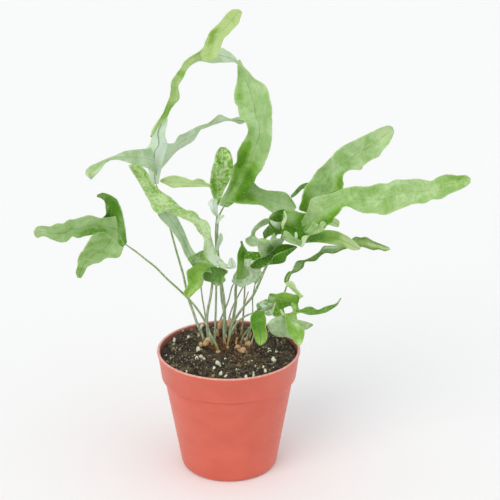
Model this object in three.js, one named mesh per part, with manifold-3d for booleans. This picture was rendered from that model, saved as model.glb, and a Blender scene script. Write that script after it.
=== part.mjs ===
// Potted golden polypody: a fern with blue-green, lobed and wavy fronds in a round plastic nursery pot.
// Millimetres, +Z up. The origin is the middle of the pot's underside, and the plant's front looks to -Y.
import * as THREE from 'three';
import { mergeVertices } from 'three/addons/utils/BufferGeometryUtils.js';
import Module from 'manifold-3d';

const wasm = await Module();
wasm.setup();

// Pot
const potHeight = 105;
const rimRadius = 60;
const collarHeight = 23;
const collarFootRadius = 57.6;
const bodyTopRadius = 56;
const baseRadius = 41;
const baseCornerRadius = 4;
const wall = 1.6;
const lipWall = 2.4;
const lipRound = 1.4;
const edgeRound = 0.5;
const ledgeDrop = 1.2;
const floorThickness = 2;
const floorFillet = 2;
const drainHoles = 8;
const drainHoleRadius = 4;
const drainCircleRadius = 27;
const drainHoleSides = 8;
const potSides = 32;
const collarFoot = potHeight - collarHeight;

// Soil
const soilHeight = 100;
const soilEdgeDepth = 2;
const soilMound = 3;
const soilRings = 5;
const soilCrumb = 1.1;
const crumbsFadeFrom = 0.8;
const crumbsFadeTo = 0.95;
const perliteCount = 13;
const perliteSize = [1.3, 2.6];
const perliteSpread = [0.52, 0.92];
const perliteFlatness = 0.8;
const perliteLift = 0.25;
const gap = 0.3;
const sideGap = 0.45;

// Stipes and blades
const rootDepth = 12;
const stipeSides = 5;
const rachisSteps = 4;
const bladeThickness = 0.66;
const ribHeight = 0.5;
const wideRows = 9;
const rowCrowding = 1.25;
const ruffleShift = 0.3;
const footShare = 0.25;
const cupSteepness = 1.5;
const fullCupWidth = 8;
const lobeLift = 0.33;
const lobeBlend = 0.2;
const depthRows = 60;
const depthColumns = 8;

// The fronds arch out to the front and the back: their depth grows between these two heights
const archFrom = 110;
const archTo = 240;
const archGrowth = 0.8;

// The eye that the outlines below are laid out from: 1.1 m in front of the plant, a little above it
const eye = new THREE.Vector3(17.8, -1002.4, 565.3);

// Fronds. Every place is [across, up, back]: across and up are read on the upright plane through the pot's
// axis, and back is how far behind that plane the place lies, along the line of sight from the eye.
// A blade is a sheet between two edges that run from its foot to its tip. Along it, back gives its depth,
// lean how much its second edge lies behind its first, cup the depth of its trough, and wave the height and
// the number of the ruffles on its edges. A lobe grows out of the blade that its "on" names.
const fronds = {
  frond_tall: {
    color: '#a9cc7e',
    stipe: {
      radius: [1.5, 0.8],
      line: [[-20, 107, 12], [-22, 117, 14], [-26, 127, 16], [-29, 137, 18], [-33, 150, 19], [-37, 171, 21],
        [-42, 191, 23], [-47, 212, 25], [-53, 235, 26]],
      into: 0.9,
    },
    blades: [
      {
        left: [[-60.5, 249], [-62, 256], [-64, 264], [-66, 272], [-66, 277], [-62, 281], [-60, 286],
          [-60, 292], [-56, 299], [-50.5, 307], [-48, 313]],
        right: [[-55, 249], [-54, 256], [-52, 264], [-49, 274], [-47, 281], [-49, 288], [-48.5, 293],
          [-47, 300], [-46.5, 306], [-43.5, 312]],
        back: [25.5, 25, 24, 23, 21], lean: -0.25, cup: -1, wave: [0.6, 2], rows: 8,
      },
      {
        on: 0,
        left: [[-50.5, 306], [-48, 313], [-45, 320], [-44, 326], [-43.5, 332], [-39, 339], [-36, 343],
          [-33, 348], [-27, 352.5], [-21, 356], [-18, 359]],
        right: [[-46.5, 305], [-44, 310], [-41, 314], [-37.5, 318], [-37, 322], [-38, 328], [-36.5, 331],
          [-34, 335], [-31, 341], [-27, 345.5], [-21, 348.5]],
        back: [22, 22, 18, 13, 11], lean: 0.35, cup: 1.2, wave: [0.8, 2], rows: 9,
      },
      {
        on: 1,
        left: [[-24, 353.5], [-18, 359.5], [-17, 363], [-15, 367], [-13, 371], [-9, 375], [-4, 380], [0, 385],
          [4, 388], [9, 388.3]],
        right: [[-18, 347.5], [-9, 350], [-5, 358], [-3.5, 362], [-2, 366], [1, 368.5], [5, 373], [9, 377],
          [10.5, 381], [12, 386]],
        back: [12, 8, 1, -8], lean: 0.3, cup: 1.5, wave: [0.8, 2], rows: 8,
      },
      {
        on: 1,
        left: [[-24, 353], [-14, 356], [-5, 359], [0, 356.5], [3, 355], [6, 352]],
        right: [[-27, 346.5], [-20, 348], [-12, 346.5], [-5, 347], [1, 347], [6, 346.5]],
        back: [13, 17, 22, 24], lean: -0.3, cup: -1, wave: [0.8, 2], rows: 7,
      },
      {
        on: 0,
        left: [[-57, 281], [-63, 278.5], [-72, 277.5], [-80, 276.5], [-85, 274.5], [-92, 271.5], [-98, 269],
          [-104, 266], [-109, 264], [-112.5, 261], [-113.5, 257]],
        right: [[-56, 255], [-60, 259], [-64, 262], [-68, 263.3], [-75, 265], [-83, 268], [-88, 269],
          [-93, 268.5], [-97, 266], [-100, 262], [-104, 257], [-109, 252.5]],
        back: [24, 11, 3, -2, -4, -3], lean: -0.35, cup: -1.5, wave: [1.2, 3], rows: 10, narrow: true,
      },
      {
        on: 0,
        left: [[-54, 283], [-46, 282.5], [-42, 283], [-40, 286], [-38, 289], [-33, 291], [-28, 294],
          [-22, 297], [-15, 299], [-10, 303], [-6, 306], [-2, 304.5], [3, 302.5], [9, 304], [14, 302]],
        right: [[-57, 257], [-53, 261], [-48, 267], [-43, 273], [-38, 277.5], [-33, 280.5], [-28, 283.5],
          [-25, 287], [-22, 293], [-17, 295], [-12, 297], [-6, 299], [-1, 300.5], [5, 300], [10, 298],
          [14, 299.5]],
        back: [24, 29, 36, 42, 44], lean: 0.3, cup: -1.5, wave: [0.8, 3], rows: 11, narrow: true,
      },
    ],
  },
  frond_centre: {
    color: '#8fbb63',
    stipe: {
      radius: [1.4, 0.9],
      line: [[-2, 108, 15], [-3, 122, 16], [-3, 138, 17], [-3.5, 148, 18], [-5, 160, 19], [-7, 178, 19],
        [-8.5, 195, 18], [-8.5, 210, 17], [-7, 222, 15]],
      into: 0.9,
    },
    blades: [
      {
        left: [[-7, 231], [-4, 239], [-1, 244], [2, 252.5], [4.5, 264], [7.2, 268], [7.2, 274], [10.7, 281.8],
          [15.8, 291], [14.5, 299], [9.5, 304], [8, 312], [5.5, 316], [5.5, 325], [7, 330], [8, 337],
          [8, 344], [8.3, 349]],
        right: [[0, 229], [9, 236], [16, 243], [21, 250], [23, 255], [28, 262], [33, 275], [35, 285],
          [35.3, 295], [35, 312], [33.5, 318], [32, 325], [29, 330], [21, 335], [17, 340], [14, 343],
          [10, 349.5]],
        back: [14, 10, 5, 0, -3, -1, 4, 8], lean: -0.3, cup: 3, wave: [1.4, 5], rows: 15,
      },
      {
        on: 0,
        left: [[6, 252], [14, 250.8], [21, 250], [25, 246.2], [30, 244], [37, 243.2], [45, 242], [49, 240.5],
          [52, 238]],
        right: [[-4, 233.8], [3, 233], [10, 232], [20, 231.3], [27, 230.5], [33, 226.5], [38, 223.5],
          [46, 223.5], [52, 225.5]],
        back: [12, 12, 14, 17, 18], lean: -0.25, cup: 2, wave: [1.2, 2], rows: 9,
      },
    ],
  },
  frond_left: {
    color: '#8ab35c',
    stipe: {
      radius: [1.3, 0.8],
      line: [[-9, 103, -4], [-12, 111, -5], [-16, 119, -6], [-20, 130, -8], [-25, 139, -10], [-30, 146, -12],
        [-40, 157, -14], [-50, 167, -16], [-60, 178, -19], [-67, 184, -20], [-75, 191, -22]],
      into: 0.5,
    },
    blades: [
      {
        left: [[-86, 195], [-93, 202], [-99, 208], [-102, 214], [-102, 219], [-98.5, 223], [-98.5, 228],
          [-99, 234], [-102, 236.8], [-105, 237.8]],
        right: [[-82, 199], [-82.5, 205], [-83, 212], [-84, 220], [-86, 229], [-89, 236], [-94, 239.5],
          [-100, 241.5], [-104.5, 240]],
        back: [-24, -26, -30, -38], lean: -0.3, cup: 2, wave: [0.9, 3], rows: 9,
      },
      {
        on: 0,
        left: [[-88, 222], [-96, 221], [-103, 220], [-106, 221], [-112, 222.5], [-118, 221], [-124, 219],
          [-129, 218.5], [-133, 215.5], [-138, 215.5], [-144, 213], [-150, 213.5], [-155, 212.5],
          [-158, 208.5]],
        right: [[-87, 197], [-95, 203], [-101, 207.5], [-107, 206], [-115, 204.5], [-122, 202.5],
          [-126, 204], [-129, 201.5], [-132, 199.2], [-137, 199.2], [-143, 201.5], [-150, 204.3],
          [-155, 203], [-157.5, 205.5]],
        back: [-26, -32, -40, -48, -52], lean: 0.3, cup: 2, wave: [1.3, 3], rows: 11,
      },
      {
        on: 0,
        left: [[-98, 211], [-106, 208], [-109, 206], [-112, 203], [-115, 198], [-118, 193], [-121, 189],
          [-123, 184], [-123.5, 178], [-125, 173], [-124, 168.5]],
        right: [[-82.5, 203], [-84.5, 196], [-87, 189], [-90, 185.5], [-95, 185.5], [-100, 185],
          [-105, 181.5], [-110, 180.3], [-115, 177.5], [-118, 172], [-121, 168]],
        back: [-25, -22, -17, -12], lean: 0.25, cup: 2, wave: [1.2, 3], rows: 9,
      },
    ],
  },
  frond_mottled: {
    color: '#aecb8f',
    stipe: {
      radius: [1.2, 0.7],
      line: [[-12, 107, 7], [-11.5, 118, 8], [-10.5, 140, 9], [-10, 158, 9], [-10, 180, 9], [-10, 195, 9],
        [-10, 210, 9], [-9, 222, 8]],
      into: 0.8,
    },
    blades: [
      {
        left: [[-10.5, 230], [-12, 237], [-13.5, 243], [-14.5, 248], [-13.8, 254], [-13, 260], [-11, 267],
          [-9, 275], [-6, 279.3]],
        right: [[-8.2, 230], [-5.5, 235], [-4, 240], [-1, 247], [2, 252.5], [4, 259], [4.5, 266], [3.5, 272],
          [1.5, 276.5], [-2, 279.5]],
        back: [8, 5, 1, -1, 3], lean: 0.3, cup: 1.5, wave: [0.8, 3], rows: 8,
      },
      {
        on: 0,
        left: [[-7, 250], [-12, 249.5], [-16, 249.3], [-20, 252.5], [-24, 253.5], [-28, 252], [-35, 254.5],
          [-43, 256], [-49, 254.8], [-54, 252.3]],
        right: [[-7, 241], [-12, 244.5], [-15, 246], [-20, 246.3], [-30, 246.2], [-37, 246], [-44, 245.5],
          [-47, 247], [-50, 248.7], [-53.7, 250.3]],
        back: [6, 7, 10, 14], lean: 0.3, cup: 1, wave: [0.6, 2], rows: 7,
      },
      {
        left: [[-10, 237], [-14, 235.5], [-16, 232.5], [-14.5, 229], [-13, 225], [-10, 221.5]],
        right: [[-8.5, 237], [-8.2, 234], [-8.2, 230], [-8.2, 227], [-8.2, 224], [-8.6, 221.5]],
        back: [7.2, 3, 3, 7.6], lean: 0.2, cup: -1.5, wave: [0, 0], rows: 5,
      },
      {
        left: [[-9, 223.5], [-6.5, 222.8], [-3.2, 222.8]],
        right: [[-9.3, 214], [-6, 218], [-3, 221.3]],
        back: [8.3, 6, 5], lean: 0, cup: 0.8, wave: [0, 0], rows: 3,
      },
      {
        left: [[-11, 191], [-9.5, 198], [-8, 204], [-6.6, 207.3]],
        right: [[-9, 190.5], [-6, 197], [-4, 202], [-4.8, 206.5]],
        back: [9, 6, 4], lean: 0, cup: 0.8, wave: [0, 0], rows: 4,
      },
    ],
  },
  frond_curly: {
    color: '#98bd72',
    stipe: {
      radius: [1.2, 1.1],
      line: [[-4, 108, 8], [-4, 122, 10], [-4, 138, 11], [-5.5, 148, 11], [-6.3, 160, 10], [-6.3, 170, 9],
        [-6.3, 176.5, 5.5], [-6.2, 180, 0]],
      into: 0.75,
    },
    blades: [
      {
        left: [[-10, 178], [-14, 181], [-18, 186], [-20, 192], [-20, 203], [-24, 208], [-27, 213.5],
          [-31, 217], [-36, 219.3], [-41, 221.5], [-45, 223.5], [-48, 226], [-51, 226], [-54, 224],
          [-58, 224.5], [-61, 228], [-62.5, 233], [-65.5, 238.5], [-68, 244], [-71, 250], [-74.5, 256],
          [-79, 264]],
        right: [[-2, 180.5], [-5, 184], [-9, 189], [-11.5, 196], [-13, 202], [-14, 208], [-14.5, 213],
          [-17, 217.5], [-22, 219.5], [-25, 224], [-29, 226.5], [-34, 227.3], [-39, 230.5], [-42, 234],
          [-46, 238], [-50, 240.5], [-54, 243.5], [-60, 250], [-63, 257], [-67, 262.5], [-72, 267]],
        back: [-3, -4, -5, -4, -2, 1, 5, 11, 18, 22], lean: 0.3, cup: 1.5, wave: [1.8, 5], rows: 15,
        narrow: true,
      },
      {
        on: 0,
        left: [[-6, 180], [-2.5, 178.5], [1.2, 178], [0, 181], [1, 185.3]],
        right: [[-4, 177], [0, 175.8], [6, 177], [6, 181], [3.4, 185.8]],
        back: [-3, -2, -2, -2], lean: 0, cup: 0, wave: [0, 0], rows: 6,
      },
    ],
  },
  frond_front: {
    color: '#7fa851',
    stipe: {
      radius: [1.5, 1.2],
      line: [[-13, 106, 3], [-15.5, 116, 2], [-18, 128, 1], [-17, 140, 1], [-15, 150, 2], [-13.5, 160, 3],
        [-12.5, 168, 3.5]],
      into: 0.3,
    },
    blades: [
      {
        left: [[-10.5, 172], [-16, 173], [-20, 174], [-25, 174.5], [-28, 176.5], [-30.5, 180.3],
          [-33, 184]],
        right: [[-9.5, 179], [-12, 186], [-17, 191.5], [-21, 192.3], [-26, 189.5], [-30, 188.3],
          [-33, 186]],
        back: [4, 4, 4, 1], lean: 0.2, cup: 2, wave: [0.8, 2], rows: 7,
      },
      {
        left: [[-18, 178], [-21, 171], [-20, 166], [-14.5, 164], [-10.5, 161]],
        right: [[-7, 177], [-1.5, 175.5], [0, 173.5], [-3, 169.5], [-2, 166], [-5, 163], [-8.5, 160.8]],
        back: [3.5, 3, 0, -4], lean: -0.45, cup: -1, wave: [0, 0], rows: 6,
      },
      {
        on: 0,
        left: [[-25, 182], [-30, 177.5], [-34, 174.5], [-34, 168], [-33.5, 162], [-37, 155], [-35.5, 150.7]],
        right: [[-14, 179], [-18, 174.5], [-22, 169.5], [-21.3, 165], [-22.5, 160], [-27, 155.5],
          [-32, 150.5]],
        back: [4, -6, -13, -16], lean: 0.4, cup: 1.5, wave: [0.8, 2], rows: 7,
      },
      {
        on: 0,
        left: [[-25, 181], [-30, 182], [-33, 184.5], [-36, 190], [-38, 196], [-41, 202], [-44, 207],
          [-48, 212], [-53, 217.5], [-56.5, 223], [-56, 230]],
        right: [[-20, 188], [-26, 189.5], [-30, 195], [-32.5, 201], [-35, 208], [-38, 215], [-40.5, 220.5],
          [-44, 226], [-49, 232]],
        back: [4, 9, 11, 11, 13], lean: 0.35, cup: 2, wave: [0.8, 3], rows: 9,
      },
    ],
  },
  frond_wide: {
    color: '#98bf70',
    stipe: {
      radius: [1.5, 1],
      line: [[0, 109, 11], [2, 124, 11], [7, 134, 9], [13, 143, 6], [20, 152, 3], [25, 163, 0], [31, 178, -3],
        [37, 190, -6], [43, 202, -9]],
      into: 0.9,
    },
    blades: [
      {
        left: [[45, 226.5], [50, 226], [53, 224.5], [57, 226], [62, 229], [66, 236], [72, 239.5], [80, 240.5],
          [88, 243.8]],
        right: [[43, 206], [45, 202], [50, 199.3], [57, 196.5], [61, 198], [64, 203], [72, 208], [78, 211],
          [82, 217], [90, 224.5]],
        back: [-10, -11, -13, -16, -18], lean: -0.4, cup: 4, wave: [0.5, 2], rows: 9,
      },
      {
        on: 0,
        left: [[70, 239], [82, 240.5], [92, 245], [101, 247], [113, 247], [120, 249.5], [128, 249.5],
          [133, 252.5], [141, 252.5], [150, 253.3], [157, 252.5], [162, 251.5], [168, 255], [175, 257],
          [183, 256], [190, 256.2], [194, 253.5]],
        right: [[77, 212], [86, 221], [92, 226], [97, 229.5], [103, 226.5], [110, 224], [118, 224],
          [126, 222.3], [135, 226], [142, 229], [150, 232], [158, 232.3], [164, 235.5], [171, 236],
          [178, 240.5], [184, 243], [190, 246], [193.8, 250]],
        back: [-17, -23, -32, -40, -44, -44], lean: -0.3, cup: 2.5, wave: [1.5, 4], rows: 13,
      },
      {
        on: 0,
        left: [[60, 226], [60, 235], [62, 245], [66, 252], [71, 260], [75, 263.5], [80, 269], [85, 275],
          [90, 279.5], [100, 285], [110, 290], [120, 295], [127, 297], [130.3, 295.5]],
        right: [[80, 226], [89, 238], [93, 247], [92, 253], [93.5, 258], [99, 260.5], [106, 260.5],
          [109, 264.5], [115, 269], [120, 271.5], [123, 276.5], [127, 281], [130, 287], [131.5, 292]],
        back: [-14, -8, -2, 5, 12, 17], lean: 0.25, cup: 2, wave: [1.4, 4], rows: 12,
      },
      {
        on: 2,
        left: [[70, 251], [66, 250.3], [61, 249.5], [57, 247], [53, 242.3], [50.5, 239.5]],
        right: [[70, 246], [65, 245.8], [60, 244.5], [57, 241.5], [54, 238.5], [51, 236.8]],
        back: [-7, -4, 2, 5], lean: 0, cup: 0.6, wave: [0, 0], rows: 5,
      },
      {
        on: 0,
        left: [[58, 201], [63, 203.5], [66, 205.5], [72, 208.5], [80, 209.8], [88, 208.8], [95, 205.5],
          [100, 202.3], [104, 198.5], [108, 194.8]],
        right: [[57, 197.5], [63, 198.5], [70, 199], [76, 198.8], [80, 198.3], [86, 197], [92, 195.8],
          [98, 193.5], [103, 192.2], [107, 192.8]],
        back: [-13, -9, -6, -6, -9], lean: 0.5, cup: 1.2, wave: [0.8, 2], rows: 7,
      },
      {
        on: 0,
        left: [[78, 221], [86, 220], [90, 217.5], [90, 213.5]],
        right: [[77, 214], [82, 214], [85, 212.8], [88.5, 212]],
        back: [-16, -13, -11], lean: 0, cup: 0.6, wave: [0, 0], rows: 4,
      },
    ],
  },
  frond_folded: {
    color: '#6f9a3e',
    stipe: {
      radius: [1.7, 0.9],
      line: [[3, 107, 19], [3, 120, 20], [4, 132, 20], [6, 146, 19], [6, 158, 17], [8, 168, 13], [13, 177, 9],
        [20, 185, 6], [28, 193, 3], [36, 201, 0], [41, 210, -2], [42, 217, -3]],
    },
    blades: [
      {
        left: [[3, 167], [8, 168.5], [14, 171], [18, 175], [25, 177], [29, 173.3]],
        right: [[3.2, 165], [8, 161], [13, 160], [20, 163], [25, 166], [28.7, 171]],
        back: [14, 9, 5, 2], lean: -0.6, cup: -1, wave: [0.6, 2], rows: 6,
      },
      {
        on: 0,
        left: [[13.5, 166], [13.3, 175], [13.2, 180], [13, 184.5]],
        right: [[22, 168], [18.5, 176], [18, 181], [19, 185]],
        back: [5, 3, 0], lean: 0.3, cup: 0.8, wave: [0.3, 1], rows: 4,
      },
      {
        left: [[6.5, 164], [6.8, 175], [7, 185], [8, 193], [9.5, 200.5]],
        right: [[12, 164], [15, 172], [14, 184], [13, 191], [12.3, 198], [11.3, 200]],
        back: [14, 15, 16, 17], lean: 0.6, cup: -2, wave: [0.5, 2], rows: 7,
      },
      {
        left: [[32, 195.5], [24, 196], [19, 195.5], [15, 198], [14, 202], [18, 204.5], [19, 209],
          [22, 213.5], [26, 217.3], [30, 219.7], [34, 219.5]],
        right: [[34, 199], [28, 201], [25, 202], [23, 203.5], [21.8, 206], [23, 209], [25.5, 211],
          [29, 213.3], [33.5, 215.5]],
        back: [1.5, 4, 8, 7, 4], lean: 0.4, cup: 1, wave: [0.4, 2], rows: 9,
      },
      {
        left: [[44, 211.5], [39, 213], [34, 214.3], [30, 210.5], [28, 207.5]],
        right: [[43.5, 206.5], [38, 205.5], [35, 205], [32, 203.5], [29.3, 200.5]],
        back: [-2, 1, 4], lean: 0.5, cup: 1, wave: [0.3, 1], rows: 4,
      },
      {
        left: [[36.5, 209], [33, 214], [33, 220.5], [35.5, 224], [40, 226.7], [44, 227.5]],
        right: [[44, 209], [46, 213], [47.3, 218.5], [47.6, 223], [46.5, 226.8]],
        back: [-2, -3, -5, -3], lean: 0.2, cup: 2.5, wave: [0.6, 2], rows: 6,
      },
      {
        on: 0,
        left: [[13, 174], [18, 180], [24, 184.5], [30, 189], [36, 193.5], [42, 197.8], [48, 198],
          [56, 196.3]],
        right: [[17, 168], [22, 175.5], [28, 177.5], [33, 181], [38, 186.5], [44, 189.5], [50, 192.5],
          [55.5, 194.8]],
        back: [5, -6, -12, -13, -13], lean: -0.4, cup: 4, wave: [0.4, 2], rows: 7,
      },
      {
        left: [[27, 186], [24.5, 192], [24.5, 201], [28, 202], [32, 200.5], [35, 203.5], [37, 207.3]],
        right: [[36, 192], [39, 196], [42, 198.5], [40, 201], [37.5, 201.5], [36.8, 203.5], [38, 206.8]],
        back: [-11, -13, -12, -10], lean: 0.2, cup: -1, wave: [0, 0], rows: 6,
      },
      {
        on: 6,
        left: [[31, 182], [37, 187], [41, 190], [47, 192.5], [52, 194.8], [55.5, 196.5]],
        right: [[33, 179.5], [39, 180.2], [43, 180.8], [46.5, 182.5], [48, 187], [51, 189.8], [54, 192.5],
          [56.3, 195]],
        back: [-10, -14, -16, -14], lean: 0.5, cup: -1.5, wave: [0.5, 2], rows: 7,
      },
    ],
  },
  frond_trailing: {
    color: '#8fb75f',
    stipe: {
      radius: [1, 0.8],
      line: [[-1, 107, 2], [2, 119, 2], [7, 128, 0], [14, 134, -4], [21, 137, -8], [27, 139, -11],
        [34, 142, -13], [41, 149, -14], [46, 155, -13], [48, 161, -12]],
    },
    blades: [
      {
        left: [[34, 148], [35, 154.3], [40, 154.5], [46, 156], [51, 155], [56, 154.5], [59, 152]],
        right: [[36, 141], [41, 144.5], [47, 146], [52, 145.5], [56, 145.5], [58.5, 147], [60, 149.5]],
        back: [-13, -14, -17, -17], lean: 0.6, cup: -2, wave: [0.8, 3], rows: 7,
      },
      {
        left: [[37.5, 150.3], [32, 149.5], [26, 147], [22.5, 143.3]],
        right: [[36.5, 135], [31, 133.8], [28, 136.5], [24, 140.5]],
        back: [-13, -11, -8], lean: -0.3, cup: 1, wave: [0.6, 2], rows: 5,
      },
      {
        on: 0,
        left: [[34.5, 150], [34, 143], [34, 136], [36, 131]],
        right: [[44, 150], [44, 144], [46.5, 138], [48, 132]],
        back: [-14, -14, -15], lean: 0.2, cup: 1.5, wave: [0.4, 2], rows: 4,
      },
      {
        on: 2,
        left: [[34, 137], [32, 129], [34, 121], [39, 117.3], [45, 115.2], [50, 114.3]],
        right: [[46, 137], [50, 131], [52, 125], [52.5, 119.5], [52, 115.3]],
        back: [-15, -15, -13, -12], lean: 0.1, cup: -1.5, wave: [0.6, 2], rows: 7,
      },
      {
        on: 0,
        left: [[52, 151], [52.5, 145], [53.8, 140], [52.5, 136.5], [48, 131], [48, 124], [49, 117],
          [53, 111.5], [57, 107.8]],
        right: [[59.3, 151.5], [59, 145], [58.5, 139], [58, 133], [60, 126], [63, 120], [62.8, 113],
          [60.5, 108.3]],
        back: [-17, -18, -21, -26, -27], lean: 0.25, cup: 2, wave: [0.8, 3], rows: 9,
      },
      {
        on: 4,
        left: [[52, 132], [60, 130.3], [65, 129], [70, 127]],
        right: [[52, 124], [60, 121.5], [63.5, 121.3], [67, 123], [70.2, 125.6]],
        back: [-21, -17, -12], lean: 0.2, cup: 0.8, wave: [0.4, 1], rows: 4,
      },
      {
        on: 4,
        left: [[54, 141.5], [57.5, 140], [61, 140.5], [64.5, 142.3], [69, 142.5], [74, 139.8], [80, 142.7],
          [85, 144.2], [89, 145.5], [91, 148], [92.3, 150.5]],
        right: [[54, 134], [59, 136.8], [63, 136], [67, 135], [71, 135.2], [76, 135.7], [81, 137.3],
          [86, 140.5], [90, 143.5], [91.7, 147], [93.2, 150]],
        back: [-19, -15, -9, -2, 4], lean: 0.5, cup: 1.2, wave: [0.6, 3], rows: 9,
      },
      {
        left: [[22.5, 139], [18.5, 134], [17.8, 127], [19, 120], [20.5, 114], [22.5, 109.5], [24.7, 107.6]],
        right: [[28, 140], [31.5, 134], [32, 128], [32, 119], [31.5, 113], [29, 109], [26.6, 107.4]],
        back: [-10, -17, -21, -22], lean: -0.25, cup: 2, wave: [0.7, 3], rows: 8,
      },
      {
        left: [[45.8, 158], [46, 168], [49, 173.5], [52, 174.3], [54, 179.5], [56.5, 183.3], [62, 183.8],
          [66, 185.5], [70, 188], [74, 191], [77.5, 195.8], [82, 196.3], [90, 196.5], [97, 199],
          [103, 204], [108, 203.3], [112, 204], [116, 201.5], [121, 199], [126, 197], [131, 194.7]],
        right: [[49.2, 158], [50, 166], [52, 171], [57, 173.5], [61.5, 177.5], [63, 182], [68, 182.5],
          [71.5, 183], [75, 187], [79, 189.7], [86, 189.2], [93, 192.5], [100, 194.5], [107, 195.3],
          [113, 194], [118, 192.3], [123, 192.8], [128, 191.5], [132, 193]],
        back: [-12, -10, -8, -3, 3, 9, 11, 6], lean: 0.5, cup: 1, wave: [1, 5], rows: 14, narrow: true,
      },
      {
        on: 8,
        left: [[45.8, 166], [50, 165.3], [54, 163.5], [56, 160], [58.5, 157], [61, 152.7], [60.6, 150.8]],
        right: [[46, 161], [49, 160.5], [52, 157.5], [55, 154.3], [57.5, 151.3], [59.2, 150.3]],
        back: [-12, -15, -20], lean: 0.3, cup: 0.8, wave: [0.4, 2], rows: 5,
      },
    ],
  },
  young_leaf_1: {
    color: '#9db98a',
    stipe: {
      radius: [0.9, 0.7],
      line: [[-17, 108, 8], [-18, 120, 8], [-19, 130, 7], [-20, 140, 7], [-21.5, 150, 7], [-22.5, 160, 8]],
      into: 0.5,
    },
    blades: [
      {
        left: [[-23.5, 161], [-25, 165], [-26, 170], [-25, 174]],
        right: [[-21.5, 161], [-20, 166], [-20.5, 171], [-23, 174.5]],
        back: [8, 9, 10], lean: 0.2, cup: 1, wave: [0.2, 1], rows: 4,
      },
    ],
  },
  young_leaf_2: {
    color: '#9db98a',
    stipe: {
      radius: [1, 0.7],
      line: [[-10, 110, 20], [-9, 120, 22], [-7, 130, 23], [-3, 140, 24], [0, 148, 25], [3, 160, 26]],
      into: 0.5,
    },
    blades: [
      {
        left: [[4, 164], [3.8, 169], [7.3, 176], [8, 184], [9, 190]],
        right: [[6, 163], [11, 169], [14, 176], [14, 184], [11, 190]],
        back: [27, 30, 34, 36], lean: 0.3, cup: 1.5, wave: [0.6, 2], rows: 5,
      },
    ],
  },
  young_leaf_3: {
    color: '#9db98a',
    stipe: {
      radius: [0.9, 0.7],
      line: [[-2, 112, 27], [0, 130, 28], [3, 141, 29], [7, 150, 30], [12, 160, 31]],
      into: 0.5,
    },
    blades: [
      {
        left: [[13, 163], [14, 170], [17, 178], [22, 185], [28, 190]],
        right: [[16, 162], [22, 168], [27, 176], [31, 184], [31, 190]],
        back: [31, 36, 44, 52], lean: -0.3, cup: 1.5, wave: [0.8, 2], rows: 5,
      },
    ],
  },
  young_leaf_4: {
    color: '#9db98a',
    stipe: {
      radius: [1.1, 0.8],
      line: [[9, 110, 20], [11, 122, 22], [12, 132, 23], [13, 148, 23], [13.5, 160, 22]],
      into: 0.5,
    },
    blades: [
      {
        left: [[12.5, 164], [11, 170], [12, 178], [14, 185]],
        right: [[14.5, 164], [18, 170], [19, 178], [17, 186]],
        back: [22, 22, 20], lean: 0.3, cup: 1, wave: [0.3, 1], rows: 5,
      },
    ],
  },
  young_leaf_5: {
    color: '#9db98a',
    stipe: {
      radius: [0.8, 0.6],
      line: [[15, 110, 24], [18, 122, 25], [20, 135, 25], [20, 150, 24], [21.5, 160, 23]],
      into: 0.5,
    },
    blades: [
      {
        left: [[21.3, 163], [21, 167], [22, 173]],
        right: [[23, 163], [26, 167], [26, 173]],
        back: [22, 21, 19], lean: 0.2, cup: 0.8, wave: [0.2, 1], rows: 4,
      },
    ],
  },
  dried_stalk: {
    color: '#a58a62',
    stipe: { radius: [0.8, 0.5], line: [[11, 110, 13], [12, 130, 13], [13.3, 145, 13], [16.5, 156, 12]] },
    blades: [],
  },
};

// Rhizomes: [x, y, z] along the middle, half sunk in the soil
const rhizomeRadius = 4.6;
const rhizomeTaper = 0.8;
const rhizomeSides = 8;
const rhizomeSteps = 9;
const knobHeight = 0.14;
const endShare = 0.08;
const endBluntness = 0.35;
const grooveGap = 0.6;
const rhizomes = {
  rhizome_left: [[-27, 8, 101], [-21, 11, 103.5], [-14, 5, 104], [-6, 0, 103.5], [0, 2, 102]],
  rhizome_middle: [[-11, 15, 103], [-5, 11, 105], [2, 14, 105.5], [8, 20, 104.5], [15, 23, 102]],
  rhizome_right: [[6, 8, 102], [12, 6, 103.5], [18, 6, 103], [23, 9, 101]],
  rhizome_back: [[-16, 21, 102], [-9, 24, 104], [-1, 28, 104], [8, 30, 102]],
};

// Short new shoots on the rhizome at the right, from their foot to their tip
const sproutRadius = [0.9, 0.5];
const sprouts = [
  [[10, 7, 103], [10.5, 5, 109], [13, 3, 116], [18, 1, 124]],
  [[14, 6, 103], [14.5, 4, 110], [16, 3, 117], [16.5, 2, 123]],
  [[19, 6, 103], [19.5, 6, 109], [21, 6, 115], [20, 5, 120]],
];

// A repeatable series of numbers from 0 to 1, the same on every run
function series(seed) {
  let state = seed;
  return () => {
    state = (state * 1103515245 + 12345) % 2147483648;
    return state / 2147483648;
  };
}

function smoothstep(low, high, value) {
  const share = Math.min(Math.max((value - low) / (high - low), 0), 1);
  return share * share * (3 - 2 * share);
}

// The place in the round of [across, up] on the measuring plane, moved back along the line of sight. Higher
// up, the fronds arch further out of the plane.
function seen(across, up, back) {
  const arch = 1 + archGrowth * smoothstep(archFrom, archTo, up);
  const reach = (back * arch - eye.y) / -eye.y;
  return new THREE.Vector3(across, 0, up).sub(eye).multiplyScalar(reach).add(eye);
}

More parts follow.
